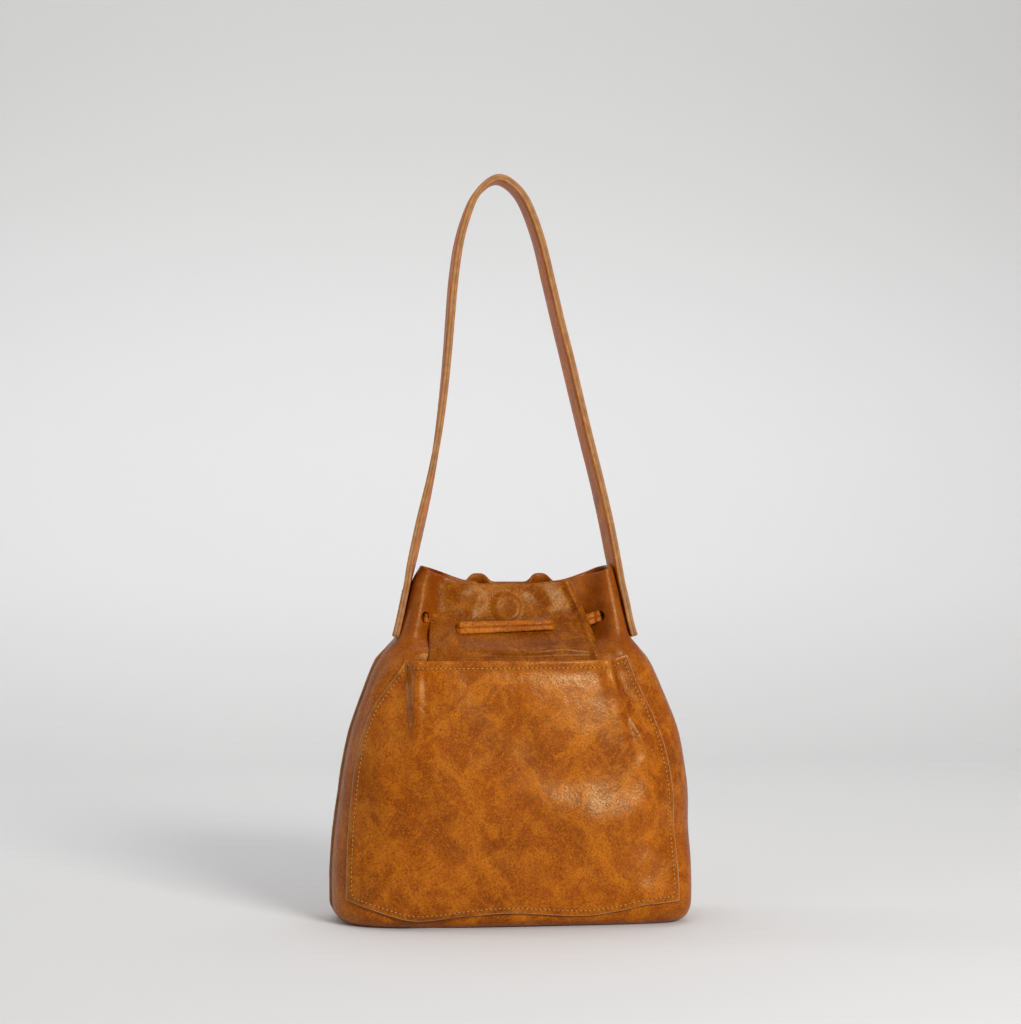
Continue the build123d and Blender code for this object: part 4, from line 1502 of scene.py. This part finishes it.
def build_strap():
    """The strap as one length: two bonded layers with a glue line in the cut edges."""
    s = settings()
    half_w, half_t = s.strap_width / MM / 2, s.strap_thickness / MM / 2
    path = strap_path()
    section = (       # across the width, through the thickness, slot of the finish
        (-half_w + 0.5, half_t, 0), (-half_w * 0.5, half_t, 0), (0, half_t, 0),
        (half_w * 0.5, half_t, 0), (half_w - 0.5, half_t, 0),
        (half_w, half_t - 0.5, 1), (half_w + 0.05, 1.2, 1), (half_w, 0.16, 2),
        (half_w - 0.4, 0.0, 2), (half_w, -0.16, 1), (half_w + 0.05, -1.2, 1),
        (half_w, -half_t + 0.5, 0),
        (half_w - 0.5, -half_t, 0), (half_w * 0.5, -half_t, 0), (0, -half_t, 0),
        (-half_w * 0.5, -half_t, 0), (-half_w + 0.5, -half_t, 0),
        (-half_w, -half_t + 0.5, 1), (-half_w - 0.05, -1.2, 1), (-half_w, -0.16, 2),
        (-half_w + 0.4, 0.0, 2), (-half_w, 0.16, 1), (-half_w - 0.05, 1.2, 1),
        (-half_w, half_t - 0.5, 0),
    )
    verts, uvs = [], []
    rows = len(path)
    for k, (x, z, twist) in enumerate(path):
        before, after = path[max(k - 1, 0)], path[min(k + 1, rows - 1)]
        along = Vector((after[0] - before[0], 0, after[1] - before[1])).normalized()
        out = Vector((-along.z, 0, along.x))      # away from the inside of the loop
        width = Vector((0, 1, 0))
        turn = Matrix.Rotation(math.radians(twist), 3, along)
        out, width = turn @ out, turn @ width
        waver = 0.25 * wave(0, 7, k * 1.0, 22, 3.0)
        for across, through, _ in section:
            verts.append(Vector((x, 0, z)) + width * (across + waver) + out * through)
            uvs.append((across / 30, k / 40))
    faces = capped_tube(rows, len(section))
    slots = [slot for _, _, slot in section] * (rows - 1) + [1, 1]
    strap = make_object(
        "strap_leather", verts, faces,
        [material("strap_leather"), material("raw_edge"), material("glue_line")], uvs, slots,
    )
    point_outward(strap)
    return strap


class BAG_OT_strap(Operator):
    """Make the shoulder strap, its sewn ends and the patches behind them"""

    bl_idname = "bag.strap"
    bl_label = "Shoulder strap"

    def execute(self, context):
        strap = build_strap()
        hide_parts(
            "strap_outer", "strap_inner", "left_strap_end_inner", "left_strap_end_outer",
            "right_strap_end_inner", "right_strap_end_outer",
        )
        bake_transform(strap)
        tree = surface_of(strap)
        lines = []
        for way in (-1, 1):
            box = [Vector((way * 130, y, z)) for y, z in STRAP_STITCH_BOX]
            dense = []
            for a, b in zip(box, box[1:]):
                dense += [a.lerp(b, k / 14) for k in range(14)]
            dense.append(box[-1])
            lines.append(lay_on(tree, dense, (-way, 0, 0), 0.05))
        stitches = stitch_lines("strap_end_stitches", lines)
        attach(stitches, "bag")
        for name in ("left_strap_patch", "right_strap_patch"):
            finish_node(name, "suede")
        return {"FINISHED"}


# ---------------------------------------------------------------- the stage
def paper_material():
    """Plain seamless paper with painted light: palest behind the bag, with painted shade on the
    floor and high up.
    """
    floor, middle = rgba((0.655, 0.65, 0.645)), rgba((0.705, 0.705, 0.705))
    upper, smudge = rgba((0.535, 0.535, 0.525)), rgba((0.5, 0.5, 0.5))
    n = Nodes("paper")
    height = n.height()
    # painted light and shade: the floor and the upper wall are darker than the wall behind the bag
    colour = n.mix(n.span(height, 0.0, 0.25), floor, middle)
    colour = n.mix(n.span(height, 0.35, 1.25), colour, upper)
    tone = n.math("MULTIPLY", n.noise(n.at, 1.2, 2.0, 0.5), 0.03)
    colour = n.mix(tone, colour, smudge)
    return n.finish(colour, 0.9, {"Specular IOR Level": 0.1})


def add_light(name, place, target, size, power, colour=(1, 1, 1)):
    """A soft rectangular light that faces its target."""
    data = bpy.data.lights.new(name, "AREA")
    data.shape = "RECTANGLE"
    data.size, data.size_y = size
    data.energy = power
    data.color = colour
    light = bpy.data.objects.new(name, data)
    light.location = place
    light.rotation_euler = (Vector(target) - Vector(place)).to_track_quat("-Z", "Y").to_euler()
    bpy.context.scene.collection.objects.link(light)
    return light


# name, place, target, width and height, power, colour
LIGHTS = (
    ("key", (1.00, -2.05, 1.12), (0.0, 0.0, 0.15), (0.85, 0.65), 58, (1.0, 0.985, 0.965)),
    ("fill", (-2.1, -1.6, 1.1), (0.0, 0.0, 0.2), (1.6, 1.6), 6, (0.96, 0.98, 1.0)),
    ("top", (0.1, -0.1, 2.4), (0.0, 0.1, 0.0), (2.0, 1.6), 11),
    ("wall", (0.2, 0.4, 2.6), (0.2, 2.0, 0.9), (2.6, 0.8), 13),
    ("edge", (-1.7, 0.5, 0.8), (-0.13, 0.0, 0.12), (0.3, 1.2), 5),
    ("bend", (-0.2, 0.75, 1.7), (-0.2, 1.75, 0.1), (3.0, 0.5), 9),
)


class BAG_OT_stage(Operator):
    """Make the floor, the backdrop, the lights and the camera"""

    bl_idname = "bag.stage"
    bl_label = "Stage"

    def execute(self, context):
        scene = context.scene
        # one sweep of paper, in metres: floor, round bend and wall
        floor_y, bend, high, wide = 1.1, 0.9, 3.4, 4.2
        profile = [(y, 0.0) for y in (-3.6, -1.5, 0.0, floor_y)]
        for k in range(1, 13):
            angle = math.pi / 2 * k / 12
            profile.append((floor_y + bend * math.sin(angle), bend * (1 - math.cos(angle))))
        profile.append((floor_y + bend, high))
        verts = []
        for y, z in profile:
            verts += [Vector((-wide, y, z)) / MM, Vector((wide, y, z)) / MM]
        faces = [face[::-1] for face in grid_faces(len(profile), 2)]
        sweep = make_object("paper_sweep", verts, faces, [paper_material()])
        for light in LIGHTS:
            add_light(*light)
        world = bpy.data.worlds.new("studio")
        world.use_nodes = True
        shade = world.node_tree.nodes["Background"]
        shade.inputs["Color"].default_value = (0.93, 0.95, 1.0, 1.0)
        shade.inputs["Strength"].default_value = 0.27
        scene.world = world
        scene.view_settings.view_transform = "Standard"
        # a level camera, turned a little to the left of the front
        camera_data = bpy.data.cameras.new("camera")
        camera_data.sensor_width, camera_data.lens = 36.0, 82.07
        camera = bpy.data.objects.new("camera", camera_data)
        scene.collection.objects.link(camera)
        distance, azimuth, height = 1.8, math.radians(-7.0), 0.312
        camera.location = (distance * math.sin(azimuth), -distance * math.cos(azimuth), height)
        camera.rotation_euler = (math.pi / 2, 0.0, azimuth)
        scene.camera = camera
        return {"FINISHED"}


class BAG_PT_panel(Panel):
    """Lists the bag's settings and its steps"""

    bl_label = "Bucket bag"
    bl_idname = "BAG_PT_panel"
    bl_space_type = "VIEW_3D"
    bl_region_type = "UI"
    bl_category = "Bucket bag"

    def draw(self, context):
        for key in BucketBagSettings.__annotations__:
            self.layout.prop(context.scene.bucket_bag, key)
        for step in STEPS:
            self.layout.operator(step.bl_idname)


STEPS = (
    BAG_OT_stage, BAG_OT_body, BAG_OT_base, BAG_OT_welts, BAG_OT_pocket, BAG_OT_mouth, BAG_OT_lace,
    BAG_OT_strap,
)
CLASSES = (BucketBagSettings,) + STEPS + (BAG_PT_panel,)


def register():
    for cls in CLASSES:
        bpy.utils.register_class(cls)
    bpy.types.Scene.bucket_bag = PointerProperty(type=BucketBagSettings)


def unregister():
    del bpy.types.Scene.bucket_bag
    for cls in reversed(CLASSES):
        bpy.utils.unregister_class(cls)


def main():
    """Make every piece in order."""
    register()
    bpy.ops.bag.stage()
    bpy.ops.bag.body()
    bpy.ops.bag.base()
    bpy.ops.bag.welts()
    bpy.ops.bag.pocket()
    bpy.ops.bag.mouth()
    bpy.ops.bag.lace()
    bpy.ops.bag.strap()


if __name__ == "__main__":
    main()
